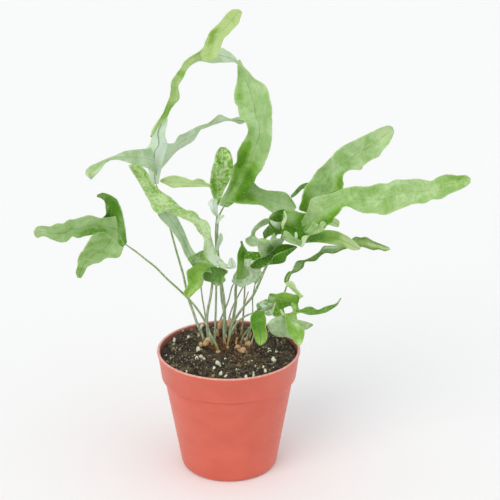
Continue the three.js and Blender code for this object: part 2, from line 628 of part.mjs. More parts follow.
// A smooth line through points of any number of coordinates, as a function of the share of its length
function smoothLine(points) {
  const knots = [0];
  for (let i = 1; i < points.length; i += 1) {
    const step = Math.hypot(...points[i].map((value, axis) => value - points[i - 1][axis]));
    knots.push(knots[i - 1] + step);
  }
  const last = points.length - 1;
  const slope = (i, axis) => {
    const before = Math.max(i - 1, 0);
    const after = Math.min(i + 1, last);
    return (points[after][axis] - points[before][axis]) / (knots[after] - knots[before]);
  };
  return (share) => {
    const along = Math.min(Math.max(share, 0), 1) * knots[last];
    let i = 0;
    while (i < last - 1 && knots[i + 1] < along) {
      i += 1;
    }
    const span = knots[i + 1] - knots[i];
    const t = (along - knots[i]) / span;
    const passed = t * t * (3 - 2 * t);
    const leaving = t * (1 - t) ** 2 * span;
    const arriving = t * t * (t - 1) * span;
    return points[i].map((start, axis) => start + (points[i + 1][axis] - start) * passed
      + leaving * slope(i, axis) + arriving * slope(i + 1, axis));
  };
}

// Values spread evenly along a blade, as a smooth function of the share of its length
function smoothValues(values) {
  const line = smoothLine(values.map((value, i) => [i * 1000, value]));
  return (share) => line(share)[1];
}

// A blade's sheet: at(t, s) gives [across, up, back] from its foot, t = 0, to its tip, t = 1, and from
// one edge, s = -1, to the other, s = 1
function bladeSheet(blade, parent) {
  const left = smoothLine(blade.left);
  const right = smoothLine(blade.right);
  const depth = smoothValues(blade.back);
  const [height, count] = blade.wave;
  return (t, s) => {
    const a = left(t);
    const b = right(t);
    const share = (s + 1) / 2;
    const across = a[0] + (b[0] - a[0]) * share;
    const up = a[1] + (b[1] - a[1]) * share;
    const halfWidth = Math.hypot(b[0] - a[0], b[1] - a[1]) / 2;
    const rise = smoothstep(0, footShare, t);
    const turns = count * t + (s > 0 ? ruffleShift : 0);
    const ruffle = height * s * s * Math.sin(2 * Math.PI * turns) * rise;
    const cup = blade.cup * Math.min(halfWidth / fullCupWidth, 1);
    const trough = cup * (1 - Math.abs(s) ** cupSteepness) * rise;
    const own = depth(t) + blade.lean * s * halfWidth + ruffle + trough;
    if (!parent) {
      return [across, up, own];
    }
    const blend = smoothstep(0, lobeBlend, t);
    return [across, up, own * blend + (parent(across, up) - lobeLift) * (1 - blend)];
  };
}

// How far back a sheet lies at [across, up], read at its nearest place
function sheetDepth(sheet) {
  const places = [];
  for (let i = 0; i <= depthRows; i += 1) {
    for (let j = 0; j <= depthColumns; j += 1) {
      places.push(sheet(i / depthRows, (2 * j) / depthColumns - 1));
    }
  }
  return (across, up) => {
    let best = places[0];
    let least = Infinity;
    for (const place of places) {
      const away = (place[0] - across) ** 2 + (place[1] - up) ** 2;
      if (away < least) {
        least = away;
        best = place;
      }
    }
    return best[2];
  };
}

// A closed solid from a mesh of three.js, turned the right way out
function solidFrom(geometry) {
  const bare = geometry.clone();
  bare.deleteAttribute('normal');
  bare.deleteAttribute('uv');
  const merged = mergeVertices(bare, 1e-4);
  const places = merged.getAttribute('position').array;
  const corners = Uint32Array.from(merged.getIndex().array);
  if (enclosedVolume(places, corners) < 0) {
    corners.reverse();
  }
  return new wasm.Manifold(new wasm.Mesh({ numProp: 3, vertProperties: places, triVerts: corners }));
}

// The volume inside a closed mesh, negative where its faces look inwards
function enclosedVolume(places, corners) {
  let volume = 0;
  const a = new THREE.Vector3();
  const b = new THREE.Vector3();
  const c = new THREE.Vector3();
  for (let i = 0; i < corners.length; i += 3) {
    a.fromArray(places, corners[i] * 3);
    b.fromArray(places, corners[i + 1] * 3);
    c.fromArray(places, corners[i + 2] * 3);
    volume += a.dot(b.cross(c)) / 6;
  }
  return volume;
}

// The places of a sheet's rows and columns in the round. The rows are closer together towards the tip.
function sheetPlaces(sheet, rows, columns) {
  const places = [];
  for (let i = 0; i <= rows; i += 1) {
    const t = 1 - (1 - i / rows) ** rowCrowding;
    for (let j = 0; j <= columns; j += 1) {
      places.push(seen(...sheet(t, (2 * j) / columns - 1)));
    }
  }
  return places;
}

// The rim of a flat grid of rows and columns, as the numbers of its places in turn
function gridRim(rows, columns) {
  const width = columns + 1;
  const foot = Array.from({ length: columns }, (_, j) => j);
  const right = Array.from({ length: rows }, (_, i) => i * width + columns);
  const tip = foot.map((j) => rows * width + columns - j);
  const left = right.map((number) => rows * width + columns - number);
  return [...foot, ...right, ...tip, ...left];
}

// A flat sheet of rows and columns, bent to its places and given its thickness and its midrib
function sheetSolid(sheet, rows, columns) {
  const places = sheetPlaces(sheet, rows, columns);
  const place = (i, j) => {
    const row = Math.min(Math.max(i, 0), rows);
    const column = Math.min(Math.max(j, 0), columns);
    return places[row * (columns + 1) + column];
  };
  const front = [];
  const behind = [];
  for (let i = 0; i <= rows; i += 1) {
    for (let j = 0; j <= columns; j += 1) {
      const along = place(i + 1, j).clone().sub(place(i - 1, j));
      const over = place(i, j + 1).clone().sub(place(i, j - 1));
      const normal = along.cross(over).normalize();
      const rib = j * 2 === columns ? ribHeight * (1 - i / rows) : 0;
      front.push(place(i, j).clone().addScaledVector(normal, bladeThickness / 2 + rib));
      behind.push(place(i, j).clone().addScaledVector(normal, -bladeThickness / 2 - rib));
    }
  }
  const faces = [];
  const grid = new THREE.PlaneGeometry(1, 1, columns, rows).getIndex().array;
  for (let i = 0; i < grid.length; i += 3) {
    faces.push(grid[i], grid[i + 1], grid[i + 2]);
    faces.push(grid[i] + front.length, grid[i + 2] + front.length, grid[i + 1] + front.length);
  }
  gridRim(rows, columns).forEach((from, i, rim) => {
    const to = rim[(i + 1) % rim.length];
    faces.push(from, to, from + front.length, to, to + front.length, from + front.length);
  });
  const geometry = new THREE.BufferGeometry();
  const all = [...front, ...behind].flatMap((corner) => corner.toArray());
  geometry.setAttribute('position', new THREE.Float32BufferAttribute(all, 3));
  geometry.setIndex(faces);
  return solidFrom(geometry);
}

// A tapering round rod along a smooth line of points, with closed ends
function rodSolid(points, [startRadius, endRadius], sides, steps, swell = () => 1) {
  const curve = new THREE.CatmullRomCurve3(points, false, 'centripetal');
  const frames = curve.computeFrenetFrames(steps, false);
  const rod = new THREE.CylinderGeometry(1, 1, 1, sides, steps);
  const position = rod.getAttribute('position');
  for (let i = 0; i < position.count; i += 1) {
    const t = position.getY(i) + 0.5;
    const ring = Math.round(t * steps);
    const side = position.getX(i);
    const top = position.getZ(i);
    const radius = (startRadius + (endRadius - startRadius) * t) * swell(t, side, top);
    const place = curve.getPointAt(t);
    place.addScaledVector(frames.normals[ring], side * radius);
    place.addScaledVector(frames.binormals[ring], top * radius);
    position.setXYZ(i, place.x, place.y, place.z);
  }
  return solidFrom(rod);
}

// The line of a stipe: straight up out of the ground and along its stations
function stipeLine(frond, depth) {
  const line = frond.stipe.line.map((station) => seen(...station));
  const root = line[0].clone();
  root.z -= depth;
  return [root, ...line];
}

// The stipe's way on, along the middle of its first blade
function rachisLine(frond, sheet) {
  if (!frond.stipe.into) {
    return [];
  }
  const share = (i) => frond.stipe.into * ((i + 1) / rachisSteps);
  return Array.from({ length: rachisSteps }, (_, i) => seen(...sheet(share(i), 0)));
}

// The sheets of a frond's blades, each lobe growing out of the sheet it stands on
function sheetsOf(frond) {
  const sheets = [];
  frond.blades.forEach((blade) => {
    const parent = blade.on === undefined ? undefined : sheetDepth(sheets[blade.on]);
    sheets.push(bladeSheet(blade, parent));
  });
  return sheets;
}

// A stipe and its way on into the blade, made thicker and deeper by the extra
function stipeSolid(frond, sheets, extra) {
  const line = [...stipeLine(frond, rootDepth + extra), ...rachisLine(frond, sheets[0])];
  const radii = frond.stipe.radius.map((radius) => radius + extra);
  return rodSolid(line, radii, stipeSides, line.length);
}

// A stipe with its blades, grown together as one piece
function frondSolid(frond) {
  const sheets = sheetsOf(frond);
  let solid = stipeSolid(frond, sheets, 0);
  frond.blades.forEach((blade, i) => {
    const columns = blade.rows > wideRows && !blade.narrow ? 4 : 2;
    solid = solid.add(sheetSolid(sheets[i], blade.rows, columns));
  });
  return largestPiece(solid);
}

// The hole that a stipe stands in: its own form, with the gap all round and below
function stipeHole(frond) {
  return stipeSolid(frond, sheetsOf(frond), gap);
}

// The solid without any grain of it that came loose
function largestPiece(solid) {
  const pieces = solid.decompose();
  pieces.sort((a, b) => b.volume() - a.volume());
  return pieces[0];
}

// A creeping rhizome, knobbly with old leaf scars
function rhizomeSolid(points, extra) {
  const line = points.map((point) => new THREE.Vector3(...point));
  const swell = (t, side, top) => {
    const blunt = Math.sin(Math.PI * Math.min(Math.max(t, endShare), 1 - endShare)) ** endBluntness;
    const scars = Math.sin(19 * t + 3 * side) * Math.cos(11 * t + 2 * top);
    return blunt * (1 + knobHeight * scars) + extra / rhizomeRadius;
  };
  const radii = [rhizomeRadius, rhizomeRadius * rhizomeTaper];
  return rodSolid(line, radii, rhizomeSides, rhizomeSteps, swell);
}

// A rhizome with the holes of the stipes in it, clear of the rhizomes that were laid before it
function laidRhizome(points, laid) {
  let solid = rhizomeSolid(points, 0);
  Object.values(fronds).forEach((frond) => {
    solid = solid.subtract(stipeHole(frond));
  });
  laid.forEach((other) => {
    solid = solid.subtract(rhizomeSolid(other, gap));
  });
  return solid;
}

function sproutSolid(points) {
  const line = points.map((point) => new THREE.Vector3(...point));
  return rodSolid(line, sproutRadius, stipeSides, line.length);
}

// The pot's inner wall from its floor up to its lip, as [radius, height]
const innerWall = [
  [baseRadius - wall - floorFillet, floorThickness],
  [baseRadius - wall, floorThickness + floorFillet],
  [bodyTopRadius - wall, collarFoot - ledgeDrop],
  [collarFootRadius - wall, collarFoot + ledgeDrop],
  [rimRadius - lipWall, potHeight - edgeRound],
];

// The pot's outer wall from its underside up to its lip, as [radius, height]
function outerWall() {
  const flatRadius = baseRadius - baseCornerRadius;
  const corner = [Math.PI / 4, Math.PI / 2].map((turn) => [
    flatRadius + baseCornerRadius * Math.sin(turn),
    baseCornerRadius * (1 - Math.cos(turn)),
  ]);
  return [
    [flatRadius, 0],
    ...corner,
    [bodyTopRadius, collarFoot - ledgeDrop],
    [collarFootRadius - edgeRound, collarFoot],
    [collarFootRadius, collarFoot + edgeRound],
    [rimRadius, potHeight - lipRound],
    [rimRadius - edgeRound, potHeight],
  ];
}

// The pot: a turned shell with a collar, a rolled lip and a ring of drain holes
function potSolid() {
  const lip = [rimRadius - lipWall + edgeRound, potHeight];
  const around = [[0, 0], ...outerWall(), lip, ...innerWall.toReversed(), [0, floorThickness]];
  let solid = turnedSolid(around);
  for (let i = 0; i < drainHoles; i += 1) {
    const turn = (i / drainHoles) * 2 * Math.PI;
    const depth = 3 * floorThickness;
    const hole = new THREE.CylinderGeometry(drainHoleRadius, drainHoleRadius, depth, drainHoleSides);
    hole.rotateX(Math.PI / 2);
    hole.translate(drainCircleRadius * Math.cos(turn), drainCircleRadius * Math.sin(turn), 0);
    solid = solid.subtract(solidFrom(hole));
  }
  return solid;
}

// A solid turned about +Z from its outline, as [radius, height]; bend moves each of its places
function turnedSolid(outline, bend = (x, y, z) => z) {
  const lathe = new THREE.LatheGeometry(outline.map((place) => new THREE.Vector2(...place)), potSides);
  lathe.rotateX(Math.PI / 2);
  const position = lathe.getAttribute('position');
  for (let i = 0; i < position.count; i += 1) {
    position.setZ(i, bend(position.getX(i), position.getY(i), position.getZ(i)));
  }
  return solidFrom(lathe);
}

// Crumbs and hollows of the soil's top, in mm
function crumbs(x, y) {
  const fine = Math.sin(x * 0.71 + 1.3 * Math.sin(y * 0.37)) * Math.cos(y * 0.63 + 0.9 * Math.sin(x * 0.43));
  const broad = Math.sin(x * 0.13 + 0.7) * Math.cos(y * 0.11 - 0.4);
  return soilCrumb * (fine * 0.6 + broad);
}

// The radius inside the pot at a height between its floor and its lip
function innerRadius(height) {
  const above = innerWall.findIndex((place) => place[1] > height);
  const [lowRadius, low] = innerWall[above - 1];
  const [highRadius, high] = innerWall[above];
  return lowRadius + (highRadius - lowRadius) * ((height - low) / (high - low));
}

function soilSurface(x, y) {
  const share = Math.hypot(x, y) / rimRadius;
  const settled = 1 - smoothstep(crumbsFadeFrom, crumbsFadeTo, share);
  return soilHeight + soilMound * (1 - share * share) + crumbs(x, y) * settled;
}

// The soil's own body, a little clear of the pot's wall, with its crumbly top
function soilBody(edge) {
  const side = innerWall.filter((place) => place[1] < soilHeight - soilEdgeDepth)
    .map(([radius, height]) => [radius - sideGap, height + gap]);
  const top = Array.from({ length: soilRings + 1 }, (_, i) => [edge * (1 - i / soilRings), soilHeight]);
  const outline = [[0, floorThickness + gap], ...side, [edge, soilHeight - soilEdgeDepth], ...top];
  const isTop = (z) => Math.abs(z - soilHeight) < 0.01;
  return turnedSolid(outline, (x, y, z) => (isTop(z) ? soilSurface(x, y) : z));
}

// A grain of perlite, half sunk in the soil's top
function perliteGrain(draw, edge) {
  const between = ([low, high]) => low + (high - low) * draw();
  const turn = draw() * 2 * Math.PI;
  const away = between(perliteSpread) * edge;
  const size = between(perliteSize);
  const x = away * Math.cos(turn);
  const y = away * Math.sin(turn);
  const grain = new THREE.OctahedronGeometry(size, 0);
  grain.rotateX(draw() * Math.PI);
  grain.rotateZ(draw() * Math.PI);
  grain.scale(1, 1, perliteFlatness);
  grain.translate(x, y, soilSurface(x, y) + size * perliteLift);
  return solidFrom(grain);
}

// The soil, up to its crumbly top, with perlite grains in it and plain holes for what grows out of it
function soilSolid() {
  const edge = innerRadius(soilHeight) - sideGap;
  let solid = soilBody(edge);
  const draw = series(7);
  for (let i = 0; i < perliteCount; i += 1) {
    solid = solid.add(perliteGrain(draw, edge));
  }
  Object.values(rhizomes).forEach((points) => {
    solid = solid.subtract(rhizomeSolid(points, grooveGap));
  });
  Object.values(fronds).forEach((frond) => {
    solid = solid.subtract(stipeHole(frond));
  });
  return largestPiece(solid);
}

function meshOf(name, solid, color, roughness) {
  const { vertProperties, triVerts } = solid.getMesh();
  const geometry = new THREE.BufferGeometry();
  geometry.setAttribute('position', new THREE.Float32BufferAttribute(vertProperties, 3));
  geometry.setIndex(Array.from(triVerts));
  geometry.computeVertexNormals();
  const mesh = new THREE.Mesh(geometry, new THREE.MeshStandardMaterial({ color, roughness, metalness: 0 }));
  mesh.name = name;
  return mesh;
}

const plant = new THREE.Group();
plant.add(meshOf('pot', potSolid(), '#d2614c', 0.45));
plant.add(meshOf('soil', soilSolid(), '#3f3527', 0.95));

const laid = [];
Object.entries(rhizomes).forEach(([name, points]) => {
  let solid = laidRhizome(points, laid);
  if (name === 'rhizome_right') {
    sprouts.forEach((sprout) => {
      solid = solid.add(sproutSolid(sprout));
    });
  }
  plant.add(meshOf(name, largestPiece(solid), '#7d5c36', 0.9));
  laid.push(points);
});

Object.entries(fronds).forEach(([name, frond]) => {
  plant.add(meshOf(name, frondSolid(frond), frond.color, 0.6));
});

export default plant;
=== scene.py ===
# A golden polypody fern in a terracotta-coloured nursery pot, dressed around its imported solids.
# Sizes are in millimetres here, and mm turns them to Blender's metres.
import math
import random

import bmesh
import bpy
from mathutils import Euler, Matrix, Vector, kdtree, noise


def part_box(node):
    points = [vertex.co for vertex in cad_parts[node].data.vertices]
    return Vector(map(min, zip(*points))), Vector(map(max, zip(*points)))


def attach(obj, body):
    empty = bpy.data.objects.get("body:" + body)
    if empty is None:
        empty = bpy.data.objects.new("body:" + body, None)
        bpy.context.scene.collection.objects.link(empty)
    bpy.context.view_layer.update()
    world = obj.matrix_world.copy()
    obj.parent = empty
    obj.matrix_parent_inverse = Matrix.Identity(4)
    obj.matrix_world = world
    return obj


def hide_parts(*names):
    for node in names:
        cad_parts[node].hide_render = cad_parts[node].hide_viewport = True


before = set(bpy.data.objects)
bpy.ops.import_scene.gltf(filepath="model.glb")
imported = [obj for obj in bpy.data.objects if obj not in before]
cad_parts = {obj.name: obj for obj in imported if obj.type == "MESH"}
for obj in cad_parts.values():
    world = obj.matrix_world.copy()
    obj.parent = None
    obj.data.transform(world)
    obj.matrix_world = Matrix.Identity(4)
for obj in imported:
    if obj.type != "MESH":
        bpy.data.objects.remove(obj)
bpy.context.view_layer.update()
mm = 0.001


def smoothstep(low, high, value):
    share = min(max((value - low) / (high - low), 0), 1)
    return share * share * (3 - 2 * share)


def between(low, high, share):
    return low + (high - low) * share


# Materials: colours are sRGB hex values, and each pattern's size is a real one
def linear(code):
    channels = [int(code[i:i + 2], 16) / 255 for i in (1, 3, 5)]
    return [c / 12.92 if c <= 0.04045 else ((c + 0.055) / 1.055) ** 2.4 for c in channels] + [1]


def addNode(tree, kind, inputs=None, **settings):
    node = tree.nodes.new("ShaderNode" + kind)
    for name, value in settings.items():
        setattr(node, name, value)
    for socket, value in (inputs or {}).items():
        if isinstance(value, bpy.types.NodeSocket):
            tree.links.new(value, node.inputs[socket])
        else:
            node.inputs[socket].default_value = linear(value) if isinstance(value, str) else value
    return node


def newMaterial(name):
    material = bpy.data.materials.new(name)
    material.use_nodes = True
    material.node_tree.nodes.clear()
    return material, material.node_tree


def finishMaterial(tree, inputs):
    shader = addNode(tree, "BsdfPrincipled", inputs)
    addNode(tree, "OutputMaterial", {"Surface": shader.outputs[0]})


# The living blade of a fern: tissue from young lime to bare deep green, past which a painted shade darkens
# blades in shadow, under a grey-blue wax bloom that is rubbed off in patches. IOR 1.42 as leaf wax,
# roughness about 0.5, and light shines a little way through it.
upperLeaf = {
    "lime": "#c3dc88", "green": "#84b146", "deep": "#478004", "shade": "#285600", "bloom": "#c6d9be",
    "vein": "#7aa63e", "rib": "#5c7a55", "ribFoot": "#b9cba6", "margin": "#c0dc94", "limeDots": 0.8,
    "roughness": (0.42, 0.6), "relief": 0.1,
}
underLeaf = {
    "lime": "#bfd896", "green": "#8eb060", "deep": "#4f7a2c", "shade": "#3c6320", "bloom": "#d8e8d9",
    "vein": "#76995a", "rib": "#68805f", "ribFoot": "#8b9d74", "margin": "#c8deae", "limeDots": 0,
    "roughness": (0.5, 0.66), "relief": 0.16,
}
leafPattern = {  # lengths in mm; the veins are drawn as coarse as they need to show
    "patch": 13, "mottle": 2.4, "grain": 0.5, "grainDepth": 0.06, "veinSpacing": 3.2, "veinSlant": 0.85,
    "ribWidth": 0.6, "dotSpacing": 3.4, "dotSize": 0.34, "dotColor": "#f2f6ea",
    "footEnd": (20, 45),  # where the pale foot of the midrib turns dark
    # past a tone of 1.05 a blade takes its shade colour: a painted shade for blades that lie in shadow
    "tones": {"green": (0, 0.5), "deep": (0.45, 1.05), "shade": (1.05, 1.6)},  # where each colour sets in
    "veinShare": (0.08, 0.24), "marginFrom": 0.88, "marginShare": 0.5,
    "gloss": {"IOR": 1.42, "Specular IOR Level": 0.2, "Sheen Weight": 0.02, "Sheen Roughness": 0.5,
              "Sheen Tint": linear("#e4efe2")},
    "glow": {"Subsurface Weight": 0.2, "Subsurface Radius": (0.7, 1.0, 0.3), "Subsurface Scale": 1 * mm},
}


def leafMaterial(name, look):
    form = leafPattern
    material, tree = newMaterial(name)
    place = addNode(tree, "TexCoord").outputs["Object"]
    read = {key: addNode(tree, "Attribute", attribute_name=key).outputs["Fac"]
            for key in ("across", "along", "edge", "tone", "bloom", "mottle", "rib")}
    patch = addNode(tree, "TexNoise", {"Vector": place, "Scale": 1 / (form["patch"] * mm), "Detail": 3,
                                       "Distortion": 0.6}).outputs[0]
    mottle = addNode(tree, "TexNoise", {"Vector": place, "Scale": 1 / (form["mottle"] * mm), "Detail": 4,
                                        "Roughness": 0.6}).outputs[0]
    aside = addNode(tree, "Math", {0: read["across"]}, operation="ABSOLUTE").outputs[0]

    # tone runs from lime at 0 to deep green at 1 and past 1.05 into a painted shade for blades in shadow,
    # and the bloom is thin where the tone is deep
    blotch = addNode(tree, "Math", {0: mottle, 1: 4, 2: -2}, operation="MULTIPLY_ADD").outputs[0]
    blotch = addNode(tree, "Math", {0: blotch, 1: read["mottle"]}, operation="MULTIPLY").outputs[0]
    drift = addNode(tree, "Math", {0: patch, 1: 0.9, 2: -0.45}, operation="MULTIPLY_ADD").outputs[0]
    uneven = addNode(tree, "Math", {0: drift, 1: blotch}, operation="ADD").outputs[0]
    tone = addNode(tree, "Math", {0: read["tone"], 1: uneven}, operation="ADD").outputs[0]
    shares = {}
    for key, (low, high) in form["tones"].items():
        shares[key] = addNode(tree, "MapRange", {0: tone, 1: low, 2: high},
                              interpolation_type="SMOOTHSTEP").outputs[0]
    shares["bloom"] = addNode(tree, "Math", {0: uneven, 1: -0.8, 2: read["bloom"]}, operation="MULTIPLY_ADD",
                              use_clamp=True).outputs[0]

    # side veins, slanting from the midrib to the margin, plainest where the blade is bare
    shifted = addNode(tree, "Math", {0: aside, 1: -form["veinSlant"], 2: read["along"]},
                      operation="MULTIPLY_ADD").outputs[0]
    wander = addNode(tree, "Math", {0: mottle, 1: 1.6, 2: shifted}, operation="MULTIPLY_ADD").outputs[0]
    spaced = addNode(tree, "Math", {0: wander, 1: form["veinSpacing"] / 2}, operation="PINGPONG").outputs[0]
    vein = addNode(tree, "MapRange", {0: spaced, 1: 0.1, 2: 0.9, 3: 1, 4: 0},
                   interpolation_type="SMOOTHSTEP").outputs[0]
    low, high = form["veinShare"]
    plain = addNode(tree, "Math", {0: shares["deep"], 1: high, 2: low}, operation="MULTIPLY_ADD").outputs[0]
    shares["vein"] = addNode(tree, "Math", {0: vein, 1: plain}, operation="MULTIPLY").outputs[0]

    # a pale margin, and a midrib that is pale at its foot
    shares["margin"] = addNode(tree, "MapRange", {0: read["edge"], 1: form["marginFrom"], 2: 1, 3: 0,
                                                  4: form["marginShare"]},
                               interpolation_type="SMOOTHSTEP").outputs[0]
    low, high = form["footEnd"]
    ribAge = addNode(tree, "MapRange", {0: read["along"], 1: low, 2: high}).outputs[0]
    ribColor = addNode(tree, "Mix", {0: ribAge, 6: look["ribFoot"], 7: look["rib"]}, data_type="RGBA")
    rib = addNode(tree, "MapRange", {0: aside, 1: 0.1 * form["ribWidth"], 2: form["ribWidth"], 3: 1, 4: 0},
                  interpolation_type="SMOOTHSTEP").outputs[0]
    rib = addNode(tree, "Math", {0: rib, 1: patch}, operation="MULTIPLY").outputs[0]
    shares["rib"] = addNode(tree, "Math", {0: rib, 1: read["rib"]}, operation="MULTIPLY",
                            use_clamp=True).outputs[0]
    colors = {**look, "rib": ribColor.outputs[2], "dots": form["dotColor"]}
    if look["limeDots"]:  # chalky dots that the fern sweats out at its vein ends
        cell = addNode(tree, "TexVoronoi", {"Vector": place, "Scale": 1 / (form["dotSpacing"] * mm)})
        dotEdge = form["dotSize"] / form["dotSpacing"]
        dot = addNode(tree, "MapRange", {0: cell.outputs["Distance"], 1: dotEdge * 0.6, 2: dotEdge,
                                         3: look["limeDots"], 4: 0}).outputs[0]
        outer = addNode(tree, "MapRange", {0: read["edge"], 1: 0.35, 2: 0.6}).outputs[0]
        shares["dots"] = addNode(tree, "Math", {0: dot, 1: outer}, operation="MULTIPLY").outputs[0]
    color = look["lime"]
    for key in ("green", "deep", "shade", "vein", "bloom", "margin", "rib", "dots"):
        if key in shares:
            mix = addNode(tree, "Mix", {0: shares[key], 6: color, 7: colors[key]}, data_type="RGBA")
            color = mix.outputs[2]

    low, high = look["roughness"]
    roughness = addNode(tree, "MapRange", {0: patch, 1: 0.3, 2: 0.7, 3: low, 4: high}).outputs[0]
    ridges = addNode(tree, "Bump", {"Height": vein, "Strength": 0.5, "Distance": -look["relief"] * mm})
    grain = addNode(tree, "TexNoise", {"Vector": place, "Scale": 1 / (form["grain"] * mm), "Detail": 2})
    skin = addNode(tree, "Bump", {"Height": grain.outputs[0], "Strength": 0.3,
                                  "Distance": form["grainDepth"] * mm, "Normal": ridges.outputs[0]})
    finishMaterial(tree, {"Base Color": color, "Roughness": roughness, "Normal": skin.outputs[0],
                          **form["gloss"], **form["glow"]})
    return material


# The stipe: a wiry leaf stalk with a smooth waxy skin, brown and dry at its foot. IOR 1.42, roughness 0.5.
stipeColors = {
    # pale: lengthwise streaks, partly real and partly a painted highlight on the waxy skin
    "foot": "#a19a5c", "low": "#a3b08c", "high": "#86a35e", "streak": "#64803c", "pale": "#d0dac6",
    "footLength": 6,
}
deadStipeColors = {
    "foot": "#7b5a38", "low": "#a88a5e", "high": "#b79a6c", "streak": "#8a6a45", "pale": "#c9ac80",
    "footLength": 12,
}
stipePattern = {"streak": 0.9, "streakStretch": 0.12, "blotch": 6, "rise": (20, 80), "relief": 0.15}  # mm


def stipeMaterial(name, colors):
    form = stipePattern
    material, tree = newMaterial(name)
    place = addNode(tree, "TexCoord").outputs["Object"]
    along = addNode(tree, "Attribute", attribute_name="along").outputs["Fac"]
    lengthwise = addNode(tree, "Mapping", {"Vector": place, "Scale": (1, 1, form["streakStretch"])})
    streaks = addNode(tree, "TexNoise", {"Vector": lengthwise.outputs[0], "Scale": 1 / (form["streak"] * mm),
                                         "Detail": 3}).outputs[0]
    blotch = addNode(tree, "TexNoise", {"Vector": place, "Scale": 1 / (form["blotch"] * mm), "Detail": 3})
    ragged = addNode(tree, "Math", {0: blotch.outputs[0], 1: -8, 2: along},
                     operation="MULTIPLY_ADD").outputs[0]
    low, high = form["rise"]
    ranges = {"high": (along, low, high, 0, 1, "SMOOTHSTEP"),
              "streak": (streaks, 0.45, 0.75, 0, 0.7, "LINEAR"),
              # pale lengthwise streaks, partly a painted highlight
              "pale": (streaks, 0.48, 0.3, 0, 0.8, "LINEAR"),
              "foot": (ragged, 0, colors["footLength"], 1, 0, "SMOOTHSTEP")}
    color = colors["low"]
    for key, (value, start, end, first, last, blend) in ranges.items():
        share = addNode(tree, "MapRange", {0: value, 1: start, 2: end, 3: first, 4: last},
                        interpolation_type=blend).outputs[0]
        color = addNode(tree, "Mix", {0: share, 6: color, 7: colors[key]}, data_type="RGBA").outputs[2]
    relief = addNode(tree, "Bump", {"Height": streaks, "Strength": 0.5, "Distance": form["relief"] * mm})
    finishMaterial(tree, {"Base Color": color, "Roughness": 0.5, "IOR": 1.42, "Normal": relief.outputs[0],
                          "Subsurface Weight": 0.12, "Subsurface Radius": (0.7, 1.0, 0.3),
                          "Subsurface Scale": 1 * mm})
    return material


# Loose, dry or damp things of the pot's top: each grain's tint picks its colour between two, a fine noise
# breaks it up and an accent lies over it in patches. Roughness 0.6 to 0.92, bumps as coarse as the grain.
looseForms = {  # name, dark, light, accent, roughness, grain and relief in mm
    "bark": ("corky rhizome", "#4a3321", "#a98055", "#7c5534", 0.85, 1.2, 0.5),
    "scales": ("chaffy scale", "#774e2b", "#d3ab72", None, 0.6, 0.8, 0.1),
    "bud": ("swollen stipe foot", "#c4a272", "#f8ecd2", "#cda27c", 0.6, 1.2, 0.3),
    "peat": ("damp peat", "#322b22", "#b7a780", "#5c4f38", 0.92, 1.1, 0.7),
    "perlite": ("expanded perlite", "#dfe2c6", "#fdfcf4", "#e2e4b4", 0.8, 0.5, 0.3),
    "chip": ("composted bark", "#3b2a1b", "#cdb68c", "#7f7f4b", 0.85, 0.9, 0.4),
    "fibre": ("peat fibre", "#86603a", "#dfc297", "#9a5a30", 0.75, 0.7, 0.1),
}


def looseMaterial(name, dark, light, accent, roughness, grain, relief):
    material, tree = newMaterial(name)
    place = addNode(tree, "TexCoord").outputs["Object"]
    tint = addNode(tree, "Attribute", attribute_name="tone").outputs["Fac"]
    speckle = addNode(tree, "TexNoise", {"Vector": place, "Scale": 1 / (grain * mm), "Detail": 5,
                                         "Roughness": 0.65}).outputs[0]
    share = addNode(tree, "Math", {0: speckle, 1: 0.9, 2: tint}, operation="MULTIPLY_ADD").outputs[0]
    share = addNode(tree, "Math", {0: share, 1: 0.45}, operation="SUBTRACT", use_clamp=True).outputs[0]
    color = addNode(tree, "Mix", {0: share, 6: dark, 7: light}, data_type="RGBA").outputs[2]
    if accent:
        patch = addNode(tree, "TexNoise", {"Vector": place, "Scale": 1 / (grain * 7 * mm), "Detail": 3})
        where = addNode(tree, "MapRange", {0: patch.outputs[0], 1: 0.52, 2: 0.68, 3: 0, 4: 0.75}).outputs[0]
        color = addNode(tree, "Mix", {0: where, 6: color, 7: accent}, data_type="RGBA").outputs[2]
    bump = addNode(tree, "Bump", {"Height": speckle, "Strength": 0.8, "Distance": relief * mm}).outputs[0]
    finishMaterial(tree, {"Base Color": color, "Roughness": roughness, "Normal": bump})
    return material


# Moulded polypropylene in a terracotta red: satin, IOR 1.49, roughness 0.34 to 0.46 with a fine mould grain,
# faintly translucent, pale along the lip with scuffs and a painted highlight, and dull inside.
potPlastic = {
    "body": "#d96851", "shade": "#cd5a47", "scuffAndHighlight": "#f0c0b2", "inside": "#b56e62",
    "grain": 0.35, "grainDepth": 0.04, "flow": 26, "flowDepth": 0.5, "dust": 3,  # mm
    # the pale band under the rim is partly scuffs and partly a painted highlight along the lip
    "lip": (1.3, 0.3), "lipShare": 1.3,  # from how far under the rim it is scuffed, and how much
}


